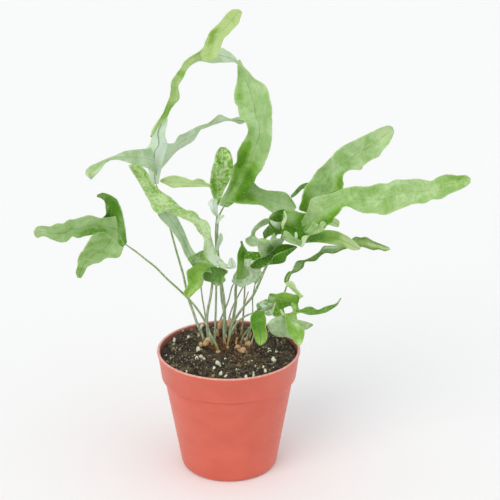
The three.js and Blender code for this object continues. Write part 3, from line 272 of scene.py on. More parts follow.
def potMaterial():
    form = potPlastic
    material, tree = newMaterial("moulded polypropylene")
    coords = addNode(tree, "TexCoord")
    place = coords.outputs["Object"]
    stretched = addNode(tree, "Mapping", {"Vector": place, "Scale": (1, 1, 1.4)}).outputs[0]
    noises = []
    for key, vector, detail in (("flow", stretched, 4), ("dust", place, 4), ("grain", place, 2)):
        scale = 1 / (form[key] * mm)
        texture = addNode(tree, "TexNoise", {"Vector": vector, "Scale": scale, "Detail": detail})
        noises.append(texture.outputs[0])
    cloud, dust, grain = noises
    bodyShare = addNode(tree, "MapRange", {0: cloud, 1: 0.25, 2: 0.75}).outputs[0]
    outward = addNode(tree, "VectorMath", {0: place, 1: (1, 1, 0)}, operation="MULTIPLY").outputs[0]
    facing = addNode(tree, "VectorMath", {0: outward, 1: coords.outputs["Normal"]}, operation="DOT_PRODUCT")
    inside = addNode(tree, "Math", {0: facing.outputs["Value"], 1: -0.02}, operation="LESS_THAN").outputs[0]
    height = addNode(tree, "SeparateXYZ", {0: place}).outputs["Z"]
    low, high = (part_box("pot")[1][2] - depth * mm for depth in form["lip"])
    lip = addNode(tree, "MapRange", {0: height, 1: low, 2: high, 4: form["lipShare"]}).outputs[0]
    # the lip's pale band: scuffs, and a painted highlight along the rim
    scuffedAndHighlighted = addNode(tree, "Math", {0: lip, 1: dust}, operation="MULTIPLY", use_clamp=True).outputs[0]
    color = form["shade"]
    for share, over in ((bodyShare, "body"), (inside, "inside"), (scuffedAndHighlighted, "scuffAndHighlight")):
        color = addNode(tree, "Mix", {0: share, 6: color, 7: form[over]}, data_type="RGBA").outputs[2]
    fine = addNode(tree, "Bump", {"Height": grain, "Strength": 0.25, "Distance": form["grainDepth"] * mm})
    wobble = addNode(tree, "Bump", {"Height": cloud, "Strength": 0.3, "Distance": form["flowDepth"] * mm,
                                    "Normal": fine.outputs[0]}).outputs[0]
    roughness = addNode(tree, "MapRange", {0: dust, 1: 0.3, 2: 0.7, 3: 0.34, 4: 0.46}).outputs[0]
    finishMaterial(tree, {"Base Color": color, "Roughness": roughness, "IOR": 1.49, "Normal": wobble,
                          "Subsurface Weight": 0.08, "Subsurface Radius": (1.0, 0.4, 0.25),
                          "Subsurface Scale": 1.5 * mm})
    return material


materials = {
    "upper": leafMaterial("fern blade upper side", upperLeaf),
    "under": leafMaterial("fern blade underside", underLeaf),
    "stipe": stipeMaterial("waxy stipe", stipeColors),
    "dryStalk": stipeMaterial("dead stipe", deadStipeColors),
    "pot": potMaterial(),
}
for key, form in looseForms.items():
    materials[key] = looseMaterial(*form)
print("materials made")


# Meshes
def newMesh():
    bm = bmesh.new()
    for name in ("across", "along", "edge", "tone", "bloom", "mottle", "rib"):
        bm.verts.layers.float.new(name)
    return bm


def finishPiece(name, bm, slots, nodes):
    mesh = bpy.data.meshes.new(name)
    bm.to_mesh(mesh)
    bm.free()
    for slot in slots:
        mesh.materials.append(materials[slot])
    for polygon in mesh.polygons:
        polygon.use_smooth = True
    piece = bpy.data.objects.new(name, mesh)
    bpy.context.scene.collection.objects.link(piece)
    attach(piece, "root")
    if nodes:
        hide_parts(*nodes)
    return piece


# A round bar along a line: a flat grid, rolled up around the line, with its seam merged and its ends closed
def bar(bm, line, radiusAt, sides, steps, material=0, tone=0, start=0):
    grid = bmesh.ops.create_grid(bm, x_segments=sides, y_segments=steps, size=1)["verts"]
    layers = bm.verts.layers.float
    rings = []
    forward = None
    right = Vector((1, 0, 0))
    travelled = start
    for i in range(steps + 1):
        here = line(i / steps)
        ahead = (line(min((i + 0.5) / steps, 1)) - line(max((i - 0.5) / steps, 0))).normalized()
        if forward:
            right = forward.rotation_difference(ahead) @ right
            travelled += (here - rings[-1][0]).length / mm
        else:
            right = (right - ahead * right.dot(ahead)).normalized()
        forward = ahead
        rings.append((here, right.copy(), ahead.cross(right), travelled))
    for vert in grid:
        i = round((vert.co.y + 1) / 2 * steps)
        turn = vert.co.x * math.pi
        here, right, up, travelled = rings[i]
        vert.co = here + (right * math.cos(turn) + up * math.sin(turn)) * radiusAt(i / steps, turn) * mm
        vert[layers["along"]] = travelled
        vert[layers["tone"]] = tone
    faces = list({face for vert in grid for face in vert.link_faces})
    for face in faces:
        face.material_index = material
    bmesh.ops.remove_doubles(bm, verts=grid, dist=1e-6)
    edges = list({edge for face in faces for edge in face.edges if edge.is_boundary})
    caps = bmesh.ops.holes_fill(bm, edges=edges)["faces"]
    for face in caps:
        face.material_index = material
    bmesh.ops.recalc_face_normals(bm, faces=faces + caps)


# A smooth line through points, as a function of the share of its length. The slope at each point follows its
# neighbours.
def smoothLine(points):
    knots = [0]
    for a, b in zip(points, points[1:]):
        knots.append(knots[-1] + math.dist(a, b))
    last = len(points) - 1
    size = len(points[0])
    slopes = []
    for i in range(len(points)):
        before, after = max(i - 1, 0), min(i + 1, last)
        span = knots[after] - knots[before]
        slopes.append([(points[after][k] - points[before][k]) / span for k in range(size)])

    def at(share):
        along = min(max(share, 0), 1) * knots[last]
        i = 0
        while i < last - 1 and knots[i + 1] < along:
            i += 1
        span = knots[i + 1] - knots[i]
        t = (along - knots[i]) / span
        passed, leaving, arriving = t * t * (3 - 2 * t), t * (1 - t) ** 2 * span, t * t * (t - 1) * span
        return Vector([points[i][k] + (points[i + 1][k] - points[i][k]) * passed
                       + leaving * slopes[i][k] + arriving * slopes[i + 1][k] for k in range(size)])

    at.length = knots[last]
    return at


# Fronds. Every place is (across, up, back): across and up are read on the upright plane through the pot's
# axis, and back is how far behind that plane the place lies, along the line of sight from the eye.
# A blade is a sheet between two edges that run from its foot to its tip. Along it, back gives its depth,
# lean how much its second edge lies behind its first, cup the depth of its trough, and wave the height and
# the number of the ruffles on its edges. A lobe grows out of the blade that its "on" names. Its face is the
# side that looks to the front, its tone runs from lime to deep green and past that into a painted shade for
# blades in shadow, bloom is how much wax lies on it, and mottle how blotchy it is. Its edges have no pale
# margin where joined says (side, from, to) that a lobe starts, start is how far up the frond it begins, and
# rib how plain its midrib is. Its bare spots are (share of length, share of half width, size, tone that they
# add, bloom that they take). The last blade values are for blades that don't give their own.
fronds = {
    "frond_tall": dict(
        slot="frond_pale", stipe=dict(radius=(1.5, 0.8), into=0.35, line=[(-20, 107, 12), (-22, 117, 14),
            (-26, 127, 16), (-29, 137, 18), (-33, 150, 19), (-37, 171, 21), (-42, 191, 23), (-47, 212, 25),
            (-53, 235, 26)]),
        blades=[
            dict(face="under", tone=0.1, bloom=0.85, mottle=0.08, rib=1.8, joined=[(-1, 0.02, 0.55),
                 (1, 0.02, 0.5)], bare=[(0.75, -0.9, 0.25, 0.15, 0.4), (0, 0, 0.15, 0.3, 0.3)],
                 left=[(-60.5, 249), (-62, 256), (-64, 264), (-66, 272), (-66, 277), (-62, 281), (-60, 286),
                 (-60, 292), (-56, 299), (-50.5, 307), (-48, 313)],
                 right=[(-55, 249), (-54, 256), (-52, 264), (-49, 274), (-47, 281), (-49, 288),
                 (-48.5, 293), (-47, 300), (-46.5, 306), (-43.5, 312)],
                 back=[25.5, 25, 24, 23, 21], lean=-0.25, cup=-1, wave=(0.6, 2)),
            dict(tone=0.3, bloom=0.12, start=40, rib=0.2, bare=[(0.33, 0.6, 0.12, 0.4, 0.4),
                 (0.9, 0, 0.2, -0.1, 0)],
                 left=[(-61, 288), (-55.8, 299), (-50.5, 307), (-48, 313), (-45, 320), (-44, 326),
                 (-43.5, 332), (-39, 339), (-36, 343), (-33, 348), (-27, 352.5), (-21, 356), (-18, 359)],
                 right=[(-59.5, 288), (-53, 297), (-46.8, 304), (-44, 310), (-41, 314), (-37.5, 318),
                 (-37, 322), (-38, 328), (-36.5, 331), (-34, 335), (-31, 341), (-27, 345.5), (-21, 348.5)],
                 back=[20.5, 20, 19.5, 17, 13, 11], lean=0.35, cup=1.2, wave=(0.8, 2)),
            dict(on=1, tone=0, bloom=0.12, mottle=0.08, rib=0.4, bare=[(0.38, -0.5, 0.2, 0.42, 0.3),
                 (0.1, 0.2, 0.25, 0.2, 0)],
                 left=[(-24, 353.5), (-18, 359.5), (-17, 363), (-15, 367), (-13, 371), (-9, 375), (-4, 380),
                 (0, 385), (4, 388), (9, 388.3)],
                 right=[(-18, 347.5), (-9, 350), (-5, 358), (-3.5, 362), (-2, 366), (1, 368.5), (5, 373),
                 (9, 377), (10.5, 381), (12, 386)],
                 back=[12, 8, 1, -8], lean=0.3, cup=1.5, wave=(0.8, 2)),
            dict(on=1, face="under", tone=0.3, bloom=0.45, mottle=0.08,
                 left=[(-24, 353), (-14, 356), (-5, 359), (0, 356.5), (3, 355), (6.8, 351), (9, 346.5)],
                 right=[(-27, 346.5), (-20, 348), (-12, 346.5), (-5, 347), (1, 347), (6, 347.3), (8.7, 345)],
                 back=[13, 17, 22, 24], lean=-0.3, cup=-1, wave=(0.8, 2)),
            dict(on=0, face="under", tone=0.32, bloom=0.4, mottle=0.08, rib=0.5,
                 bare=[(0.95, 0, 0.25, -0.15, 0.35), (0, 0, 0.2, -0.2, -0.35)],
                 left=[(-57, 281), (-63, 278.5), (-72, 277.5), (-80, 276.5), (-85, 274.5), (-92, 271.5),
                 (-98, 269), (-104, 266), (-109, 264), (-112.5, 261), (-113.5, 257)],
                 right=[(-56, 255), (-60, 259), (-64, 262), (-68, 263.3), (-75, 265), (-83, 268),
                 (-88, 269), (-93, 268.5), (-97, 266), (-100, 262), (-104, 257), (-109, 252.5)],
                 back=[24, 11, 3, -2, -4, -3], lean=-0.35, cup=-1.5, wave=(1.2, 3)),
            dict(on=0, face="under", tone=0.28, bloom=0.5, mottle=0.08, rib=0.6,
                 bare=[(0.76, 0, 0.12, -0.3, -0.6), (1, 0, 0.12, 0.1, 0.5), (0, 0, 0.15, -0.2, -0.35)],
                 left=[(-54, 283), (-46, 282.5), (-42, 283), (-40, 286), (-38, 289), (-33, 291), (-28, 294),
                 (-22, 297), (-15, 299), (-10, 303), (-6, 306), (-2, 304.5), (3, 302.5), (9, 304), (14, 302)],
                 right=[(-57, 257), (-53, 261), (-48, 267), (-43, 273), (-38, 277.5), (-33, 280.5),
                 (-28, 283.5), (-25, 287), (-22, 293), (-17, 295), (-12, 297), (-6, 299), (-1, 300.5),
                 (5, 300), (10, 298), (14, 299.5)],
                 back=[24, 29, 36, 42, 43.4], lean=0.3, cup=-1.5, wave=(0.8, 3)),
        ]),
    "frond_centre": dict(
        slot="frond_green", stipe=dict(radius=(1.4, 0.9), into=0.5, line=[(-2, 108, 15), (-3, 122, 16),
            (-3, 138, 17), (-3.5, 148, 18), (-5, 160, 19), (-7, 178, 19), (-8.5, 195, 18), (-8.5, 210, 17),
            (-7, 222, 15)]),
        blades=[
            dict(tone=0.42, bloom=0.36, mottle=0.08, joined=[(1, 0, 0.3)],
                 bare=[(0.33, -0.55, 0.17, 0.5, 0.9), (0.18, 0.35, 0.2, 0.6, 1), (0.12, 0.9, 0.15, 0.6, 1),
                 (0.1, -0.5, 0.15, 0.2, 0.2), (0.78, -0.65, 0.12, 0.3, 0.35), (0.94, 0, 0.1, -0.2, -0.1)],
                 left=[(-7, 231), (-4, 239), (-1, 244), (2, 252.5), (4.5, 264), (7.2, 268), (7.2, 274),
                 (10.7, 281.8), (15.8, 291), (14.5, 299), (9.5, 304), (8, 312), (5.5, 316), (5.5, 325),
                 (7, 330), (8, 337), (8, 344), (8.3, 349)],
                 right=[(0, 229), (9, 236), (16, 243), (21, 250), (23, 255), (28, 262), (33, 275),
                 (35, 285), (35.3, 295), (35, 312), (33.5, 318), (32, 325), (29, 330), (21, 335), (17, 340),
                 (14, 343), (10, 349.5)],
                 back=[14, 10, 5, 0, -3, -1, 4, 8], lean=-0.3, cup=3, wave=(1.4, 5)),
            dict(on=0, tone=0.5, bloom=0.3, mottle=0.08, rib=0.5, bare=[(0.25, 0.5, 0.25, 0.3, 0.65),
                 (0.95, 0, 0.4, -0.3, -0.25)],
                 left=[(6, 252), (14, 250.8), (21, 250), (25, 246.2), (30, 244), (37, 243.2), (43, 242.8),
                 (47, 241.3), (50.5, 237.5), (55, 230)],
                 right=[(-4, 233.8), (3, 233), (10, 232), (20, 231.3), (27, 230.5), (33, 226.5),
                 (38, 223.5), (46, 223.5), (51, 224.5), (55, 228.5)],
                 back=[12, 12, 14, 17, 18], lean=-0.25, cup=2, wave=(1.2, 2)),
        ]),
    "frond_left": dict(
        slot="frond_green", stipe=dict(radius=(1.3, 0.8), into=0.5, line=[(-9, 103, -4), (-12, 111, -5),
            (-16, 119, -6), (-20, 130, -8), (-25, 139, -10), (-30, 146, -12), (-40, 157, -14),
            (-50, 167, -16), (-60, 178, -19), (-67, 184, -20), (-75, 191, -22)]),
        blades=[
            dict(tone=0.85, bloom=0.05, mottle=0.08, bare=[(0.6, 0.2, 0.3, 0.2, 0.2),
                 (1, 0, 0.12, -0.4, -0.4)],
                 left=[(-86, 195), (-93, 202), (-99, 208), (-102, 214), (-102, 219), (-98.5, 223),
                 (-98.5, 228), (-99, 234), (-102, 236.8), (-105, 237.8)],
                 right=[(-82, 199), (-82.5, 205), (-83, 212), (-84, 220), (-86, 229), (-89, 236),
                 (-94, 239.5), (-100, 241.5), (-104.5, 240)],
                 back=[-24, -26, -30, -38], lean=-0.3, cup=2, wave=(0.9, 3)),
            dict(on=0, tone=0.5, bloom=0.28, bare=[(0.3, 0.6, 0.3, 0.4, 0.3), (0.95, 0, 0.2, -0.2, 0)],
                 left=[(-88, 222), (-96, 221), (-103, 220), (-106, 221), (-112, 222.5), (-118, 221),
                 (-124, 219), (-129, 218.5), (-133, 215.5), (-138, 215.5), (-144, 213), (-150, 213.5),
                 (-154.7, 212.4), (-157.5, 208.5)],
                 right=[(-87, 197), (-95, 203), (-101, 207.5), (-107, 206), (-115, 204.5), (-122, 202.5),
                 (-126, 204), (-129, 201.5), (-132, 199.2), (-137, 199.2), (-143, 201.5), (-150, 204.3),
                 (-154.7, 203), (-157, 205.6)],
                 back=[-26, -32, -40, -47.6, -51], lean=0.3, cup=2, wave=(1.3, 3)),
            dict(on=0, tone=0.5, bloom=0.25,
                 left=[(-98, 211), (-106, 208), (-109, 206), (-112, 203), (-115, 198), (-118, 193),
                 (-121, 189), (-123, 184), (-123.5, 178), (-125, 173), (-124, 168.5)],
                 right=[(-82.5, 203), (-84.5, 196), (-87, 189), (-90, 185.5), (-95, 185.5), (-100, 185),
                 (-105, 181.5), (-110, 180.3), (-115, 177.5), (-118, 172), (-121, 168)],
                 back=[-25, -22, -17, -12], lean=0.25, cup=2, wave=(1.2, 3)),
        ]),
    "frond_mottled": dict(
        slot="frond_pale", stipe=dict(radius=(1.2, 0.7), into=0.8, line=[(-12, 107, 7), (-11.5, 118, 8),
            (-10.5, 140, 9), (-10, 158, 9), (-10, 180, 9), (-10, 195, 9), (-10, 210, 9), (-9, 222, 8)]),
        blades=[
            dict(tone=0.4, bloom=0.15, mottle=0.55, bare=[(0.75, -0.5, 0.1, 0.4, 0.3),
                 (0.35, -0.6, 0.15, 0.5, 0.4), (0.5, 0.6, 0.1, 0.3, 0.2)],
                 left=[(-10.5, 230), (-12, 237), (-13.5, 243), (-14.5, 248), (-13.8, 254), (-13, 260),
                 (-11, 267), (-9, 275), (-6, 279.3)],
                 right=[(-8.2, 230), (-5.5, 235), (-4, 240), (-1, 247), (2, 252.5), (4, 259), (4.5, 266),
                 (3.5, 272), (1.5, 276.5), (-2, 279.5)],
                 back=[8, 5, 1, -1, 3], lean=0.3, cup=1.5, wave=(0.8, 3)),
            dict(on=0, tone=0.08, bloom=0.3, mottle=0.15, rib=0.5,
                 left=[(-7, 250), (-12, 249.5), (-16, 249.3), (-20, 252.5), (-24, 253.5), (-28, 252),
                 (-35, 254.5), (-43, 256), (-49, 254.8), (-54, 252.3)],
                 right=[(-7, 241), (-12, 244.5), (-15, 246), (-20, 246.3), (-30, 246.2), (-37, 246),
                 (-44, 245.5), (-47, 247), (-50, 248.7), (-53.7, 250.3)],
                 back=[6, 7, 10, 14], lean=0.3, cup=1, wave=(0.6, 2)),
            dict(face="under", tone=0.1, bloom=0.9, mottle=0.2,
                 left=[(-10, 237), (-14, 235.5), (-16, 232.5), (-14.5, 229), (-13, 225), (-10, 221.5)],
                 right=[(-8.5, 237), (-8.2, 234), (-8.2, 230), (-8.2, 227), (-8.2, 224), (-8.6, 221.5)],
                 back=[7.2, 3, 3, 7.6], lean=0.2, cup=-1.5, wave=(0, 0)),
            dict(face="under", tone=0.1, bloom=0.8, mottle=0.2,
                 left=[(-9, 223.5), (-6.5, 222.8), (-3.2, 222.8)],
                 right=[(-9.3, 214), (-6, 218), (-3, 221.3)],
                 back=[8.3, 6, 5], lean=0, cup=0.8, wave=(0, 0)),
            dict(face="under", tone=0.2, bloom=0.7, mottle=0.2,
                 left=[(-11, 191), (-9.5, 198), (-8, 204), (-6.6, 207.3)],
                 right=[(-9, 190.5), (-6, 197), (-4, 202), (-4.8, 206.5)],
                 back=[9, 6, 4], lean=0, cup=0.8, wave=(0, 0)),
        ]),
    "frond_curly": dict(
        slot="frond_pale", stipe=dict(radius=(1.2, 0.9), into=0.25, line=[(-4, 108, 8), (-4, 122, 10),
            (-4, 138, 11), (-5.5, 148, 11), (-6.3, 160, 10), (-6.3, 170, 9), (-6.3, 176.5, 5.5),
            (-6.2, 180, 0)]),
        blades=[
            dict(tone=0.28, bloom=0.28, mottle=0.35, rib=0.3, bare=[(0.03, 0, 0.4, -0.3, -0.75),
                 (0.97, 0, 0.13, -0.25, 0.35), (0.84, 0.6, 0.09, 0.35, 0.35)],
                 left=[(-10, 178), (-14, 181), (-18, 186), (-20, 192), (-20, 203), (-24, 208), (-27, 213.5),
                 (-31, 217), (-36, 219.3), (-41, 221.5), (-45, 223.5), (-48, 226), (-51, 226), (-54, 224),
                 (-58, 224.5), (-61, 228), (-62.5, 233), (-65.5, 238.5), (-68, 244), (-71, 250),
                 (-74.5, 256), (-79, 264)],
                 right=[(-2, 180.5), (-5, 184), (-9, 189), (-11.5, 196), (-13, 202), (-14, 208),
                 (-14.5, 213), (-17, 217.5), (-22, 219.5), (-25, 224), (-29, 226.5), (-34, 227.3),
                 (-39, 230.5), (-42, 234), (-46, 238), (-50, 240.5), (-54, 243.5), (-60, 250), (-63, 257),
                 (-67, 262.5), (-72, 267)],
                 back=[-3, -4, -5, -4, -2, 1, 5, 11, 18, 22], lean=0.3, cup=1.5, wave=(1.8, 5)),
            dict(on=0, face="under", tone=0.3, bloom=0.7, mottle=0.2,
                 left=[(-6, 180), (-2.5, 178.5), (1.2, 178), (0, 181), (1, 185.3)],
                 right=[(-4, 177), (0, 175.8), (6, 177), (6, 181), (3.4, 185.8)],
                 back=[-3, -2, -2, -2], lean=0, cup=0, wave=(0, 0)),
            dict(on=0, tone=0.1, bloom=0.8, mottle=0.25, rib=0,
                 left=[(-9.4, 183.8), (-6.3, 182.7), (-2.6, 181.3), (0.5, 179.6)],
                 right=[(-9.2, 178.8), (-6.3, 177.1), (-4.2, 176.3), (-1.1, 177.1)],
                 back=[-3, -4, -5], lean=0.2, cup=0.6, wave=(0.3, 1)),
        ]),
    "frond_front": dict(
        slot="frond_deep", stipe=dict(radius=(1.5, 1.2), into=0.3, line=[(-13, 106, 3), (-15.5, 116, 2),
            (-18, 128, 1), (-17, 140, 1), (-15, 150, 2), (-13.5, 160, 3), (-12.5, 168, 3.5)]),
        blades=[
            dict(tone=0.6, bloom=0.2, mottle=0.35,
                 left=[(-10.5, 172), (-16, 173), (-20, 174), (-25, 174.5), (-28, 176.5), (-30.5, 180.3),
                 (-33, 184)],
                 right=[(-9.5, 179), (-12, 186), (-17, 191.5), (-21, 192.3), (-26, 189.5), (-30, 188.3),
                 (-33, 186)],
                 back=[4, 4, 4, 1], lean=0.2, cup=2, wave=(0.8, 2)),
            # a dark olive underside lobe: its deep tone is a painted shade for the shadow it lies in
            dict(face="under", tone=0.9, bloom=0.06, mottle=0.15, rib=0.5, bare=[(0.1, 0.4, 0.6, 0.15, 0.4),
                 (1, 0, 0.25, -0.2, -0.35)],
                 left=[(-18, 178), (-21, 171), (-20, 166), (-14.5, 164), (-10.5, 161)],
                 right=[(-7, 177), (-1.5, 175.5), (0, 173.5), (-3, 169.5), (-2, 166), (-5, 163),
                 (-8.5, 160.8)],
                 back=[3.5, 3, 0, -4], lean=-0.45, cup=-1, wave=(0, 0)),
            dict(on=0, tone=0.4, bloom=-0.1, mottle=0.15, rib=0.2, bare=[(0.4, -0.2, 0.3, 0.2, 0),
                 (0.85, 0, 0.25, -0.2, 0)],
                 left=[(-25, 182), (-30, 177.5), (-34, 174.5), (-34, 168), (-33.5, 162), (-37, 155),
                 (-35.5, 150.7)],
                 right=[(-14, 179), (-18, 174.5), (-22, 169.5), (-21.3, 165), (-22.5, 160), (-27, 155.5),
                 (-32, 150.5)],
                 back=[4, -6, -13, -16], lean=0.4, cup=1.5, wave=(0.8, 2)),
            dict(on=0, face="under", tone=0.5, bloom=0.5,
                 left=[(-25, 181), (-30, 182), (-33, 184.5), (-36, 190), (-38, 196), (-41, 202), (-44, 207),
                 (-48, 212), (-53, 217.5), (-56.5, 223), (-56, 230)],
                 right=[(-20, 188), (-26, 189.5), (-30, 195), (-32.5, 201), (-35, 208), (-38, 215),
                 (-40.5, 220.5), (-44, 226), (-49, 232)],
                 back=[4, 9, 11, 11, 13], lean=0.35, cup=2, wave=(0.8, 3)),
        ]),
    "frond_wide": dict(
        slot="frond_green", stipe=dict(radius=(1.5, 1), into=0.9, line=[(0, 109, 11), (2, 124, 11),
            (7, 134, 9), (13, 143, 6), (20, 152, 3), (25, 163, 0), (31, 178, -3), (37, 190, -6),
            (43, 202, -9)]),
        blades=[
            dict(tone=0.85, bloom=-0.08, rib=0.2, joined=[(-1, 0.4, 1)], bare=[(0.5, 0.4, 0.45, 0.35, 0.4),
                 (0.12, -0.5, 0.25, -0.5, -0.4), (0.5, -0.8, 0.2, -0.2, -0.3)],
                 left=[(45, 226.5), (50, 226.4), (54, 226.6), (57.5, 225.2), (63, 225), (66, 230),
                 (72, 237), (80, 240.5), (88, 243.8)],
                 right=[(43, 206), (45, 202), (50, 199.3), (57, 196.5), (61, 198), (64, 203), (72, 208),
                 (78, 211), (82, 217), (90, 224.5)],
                 back=[-10, -11, -13, -16, -18], lean=-0.4, cup=4, wave=(0.5, 2)),
            dict(on=0, tone=0.4, bloom=0.28, mottle=0.12, rib=0.5, joined=[(-1, 0, 0.03), (1, 0, 0.12)],
                 bare=[(0.62, -0.8, 0.08, -0.1, -0.35), (1, 0, 0.25, -0.25, 0.1), (0.1, 0.9, 0.2, 0.6, 0.9),
                 (0, 0, 0.09, 0.35, 0.3), (0.06, 0.7, 0.1, 0.2, 0.3)],
                 left=[(58, 216), (61.5, 222), (64.5, 229), (65.3, 233.1), (67, 236.5), (72, 238.4),
                 (82, 240.5), (92, 245), (101, 247), (113, 247), (120, 249.5), (128, 249.5), (133, 252.5),
                 (141, 252.5), (150, 253.3), (157, 252.5), (162, 251.5), (168, 255), (175, 257), (183, 256),
                 (190, 256.2), (194, 253.5)],
                 right=[(62, 205.5), (70, 207.5), (77, 211.2), (81.4, 214.1), (84.7, 215.7), (86, 220),
                 (88.6, 222.8), (91, 226), (92.5, 229), (97, 229.5), (103, 226.5), (110, 224), (118, 224),
                 (126, 222.3), (135, 226), (142, 229), (150, 232), (158, 232.3), (164, 235.5), (171, 236),
                 (178, 240.5), (184, 243), (190, 246), (193.8, 250)],
                 back=[-17, -22, -26, -32, -40, -44, -44], lean=-0.25, cup=2.5, wave=(1.5, 4)),
            # the dark spot at the left edge of this lobe's foot is a painted shade, where the lobe over it
            # hides it
            dict(on=0, tone=0.4, bloom=0.32, mottle=0.12, rib=0.6, bare=[(0.3, 0.8, 0.14, 0.3, 0.4),
                 (0.06, -0.9, 0.22, 0.55, 0.6), (1, 0, 0.35, -0.35, -0.1), (0.2, 0, 0.2, 0.15, 0)],
                 left=[(63.2, 224.8), (57, 227.4), (58.7, 234.3), (59.6, 239.6), (62, 247), (66, 252),
                 (71, 260), (75, 263.5), (80, 269), (85, 275), (90, 279.5), (100, 285), (110, 290),
                 (120, 295), (127, 297), (130.3, 295.5)],
                 right=[(80, 224), (84, 228), (87, 233), (89, 238), (93, 247), (92, 253), (93.5, 258),
                 (99, 260.5), (106, 260.5), (109, 264.5), (115, 269), (120, 271.5), (123, 276.5),
                 (127, 281), (130, 287), (131.5, 292)],
                 back=[-14, -8, -2, 5, 12, 17], lean=0.25, cup=2, wave=(1.4, 4)),
            dict(on=2, tone=0.9, bloom=0.1,
                 left=[(70, 251), (66, 250.3), (61, 249.5), (57, 247), (53, 242.3), (50.5, 239.5)],
                 right=[(70, 246), (65, 245.8), (60, 244.5), (57, 241.5), (54, 238.5), (51, 236.8)],
                 back=[-7, -4, 2, 5], lean=0, cup=0.6, wave=(0, 0)),
            dict(on=0, tone=0.4, bloom=0.15, mottle=0.08, bare=[(0.12, 0, 0.5, 1.1, 1),
                 (1, 0, 0.55, -0.65, -0.2)],
                 left=[(58, 201), (63, 203.5), (66, 205.5), (72, 208.5), (80, 209.8), (88, 208.8),
                 (95, 205.5), (100, 202.3), (104, 198.5), (108, 194.8)],
                 right=[(57, 197.5), (63, 198.5), (70, 199), (76, 198.8), (80, 198.3), (86, 197),
                 (92, 195.8), (98, 193.5), (103, 192.2), (107, 192.8)],
                 back=[-13, -9, -6, -6, -9], lean=0.5, cup=1.2, wave=(0.8, 2)),
            dict(on=0, tone=0.3, bloom=0.3,
                 left=[(78, 221), (86, 220), (90, 217.5), (90, 213.5)],
                 right=[(77, 214), (82, 214), (85, 212.8), (88.5, 212)],
                 back=[-16, -13, -11], lean=0, cup=0.6, wave=(0, 0)),
            dict(tone=0.6, bloom=0.35, start=40, rib=0,
                 left=[(44.2, 204.4), (45.5, 209.2), (48.7, 208), (54.4, 202.5), (60.1, 200.7)],
                 right=[(44.5, 202.5), (47.1, 200.1), (51.6, 198), (56.2, 196.5), (59.9, 195)],
                 back=[-16.5, -18, -19, -19], lean=0.3, cup=1, wave=(0.3, 1)),
            dict(tone=0.5, bloom=0.75, start=40, rib=0,
                 left=[(53.8, 207.4), (54.1, 203.1), (55.6, 202.2)],
                 right=[(55.8, 208), (56.6, 205.6), (56.4, 202.5)],
                 back=[-19.5, -20, -19.5], lean=0, cup=0.3, wave=(0, 0)),
            dict(tone=0.05, bloom=0.45, start=40, rib=0,
                 left=[(58.8, 195), (60.2, 199.5), (59.5, 202.5), (61.8, 205), (65.2, 205.1)],
                 right=[(61.1, 195.9), (62.7, 198.6), (64.1, 201.9), (65.3, 204.7)],
                 back=[-20, -20.5, -19.5], lean=0.2, cup=0.8, wave=(0, 0)),
            dict(tone=0.4, bloom=0.25, mottle=0.12, start=40, rib=0, bare=[(0.9, 0.3, 0.3, -0.35, 0)],
                 left=[(66.3, 208), (69.7, 210.4), (73, 213.1), (75.2, 216.7), (78, 217.1)],
                 right=[(64.6, 204.8), (69.7, 205.9), (74.8, 207.7), (78.2, 210.1), (80.6, 214.6)],
                 back=[-18.5, -20, -22.5, -23.5], lean=0.2, cup=1, wave=(0.3, 2)),
            dict(tone=0.5, bloom=0.3, mottle=0.12, start=40, rib=0, bare=[(1, 0.3, 0.3, -0.35, 0)],
                 left=[(61.7, 208), (65.1, 211), (67.3, 213.7), (68.1, 215.8), (70.4, 215.7)],
                 right=[(64.1, 205.6), (67.4, 208), (69.7, 210.4), (72.2, 212.5), (73.4, 214)],
                 back=[-17.5, -20.5, -22.5, -23.5], lean=0.2, cup=0.6, wave=(0, 0)),
        ]),
    "frond_folded": dict(
        slot="frond_deep", stipe=dict(radius=(1.7, 0.9), into=0, line=[(3, 107, 19), (3, 120, 20),
            (4, 132, 20), (6, 146, 19), (6, 158, 18), (8, 168, 17), (13, 177, 17), (20, 185, 14),
            (28, 193, 10), (36, 201, 5), (41, 210, 1), (42, 217, -1)]),
        blades=[
            dict(face="under", tone=0.5, bloom=0.45, mottle=0.25, start=40, rib=0,
                 bare=[(0.35, 0.6, 0.3, 0.1, -0.2)],
                 left=[(3.5, 166.8), (11.9, 167), (14.5, 168.7), (17.2, 171), (16.6, 174.3), (14, 176.6),
                 (13, 179.9), (13, 183.8), (14.4, 184.6)],
                 right=[(2.8, 164.4), (6.7, 162.6), (9.3, 159.8), (13.5, 160.3), (17.7, 162.5), (24, 165.9),
                 (28.1, 169.8), (28.6, 172.1), (25, 175.5), (18.2, 176.6), (18.2, 179.9), (19.8, 184.9)],
                 back=[13, 9, 5, 3, 3, 4], lean=-0.5, cup=-1, wave=(0.4, 2)),
            dict(tone=0.72, bloom=0, mottle=0.08, start=40, rib=0.3, bare=[(0, 0, 0.3, -0.3, -0.2),
                 (0.6, 0.7, 0.3, 0.3, 0)],
                 left=[(6, 165), (6.8, 174), (7.3, 182), (7.4, 188.5), (8.9, 193.5), (10.3, 196.5),
                 (9.8, 200.3)],
                 right=[(12.2, 165), (14.8, 172), (14.6, 183), (15.7, 188), (15.8, 191.5), (13.8, 194.6),
                 (12.3, 197.5), (11.6, 200.4)],
                 back=[14, 15, 16, 17], lean=0.6, cup=-2, wave=(0.5, 2)),
            dict(tone=0.7, bloom=0.05, mottle=0.4, start=40, rib=0,
                 left=[(13, 190.6), (16.1, 191.4), (19.8, 191.3), (23.5, 191), (27, 192)],
                 right=[(13, 183), (17, 183), (20, 183.5), (24, 183), (28, 184)],
                 back=[15, 11, 8], lean=-0.3, cup=1, wave=(0.4, 2)),
            dict(face="under", tone=0.4, bloom=0.3, mottle=0.15, start=40,
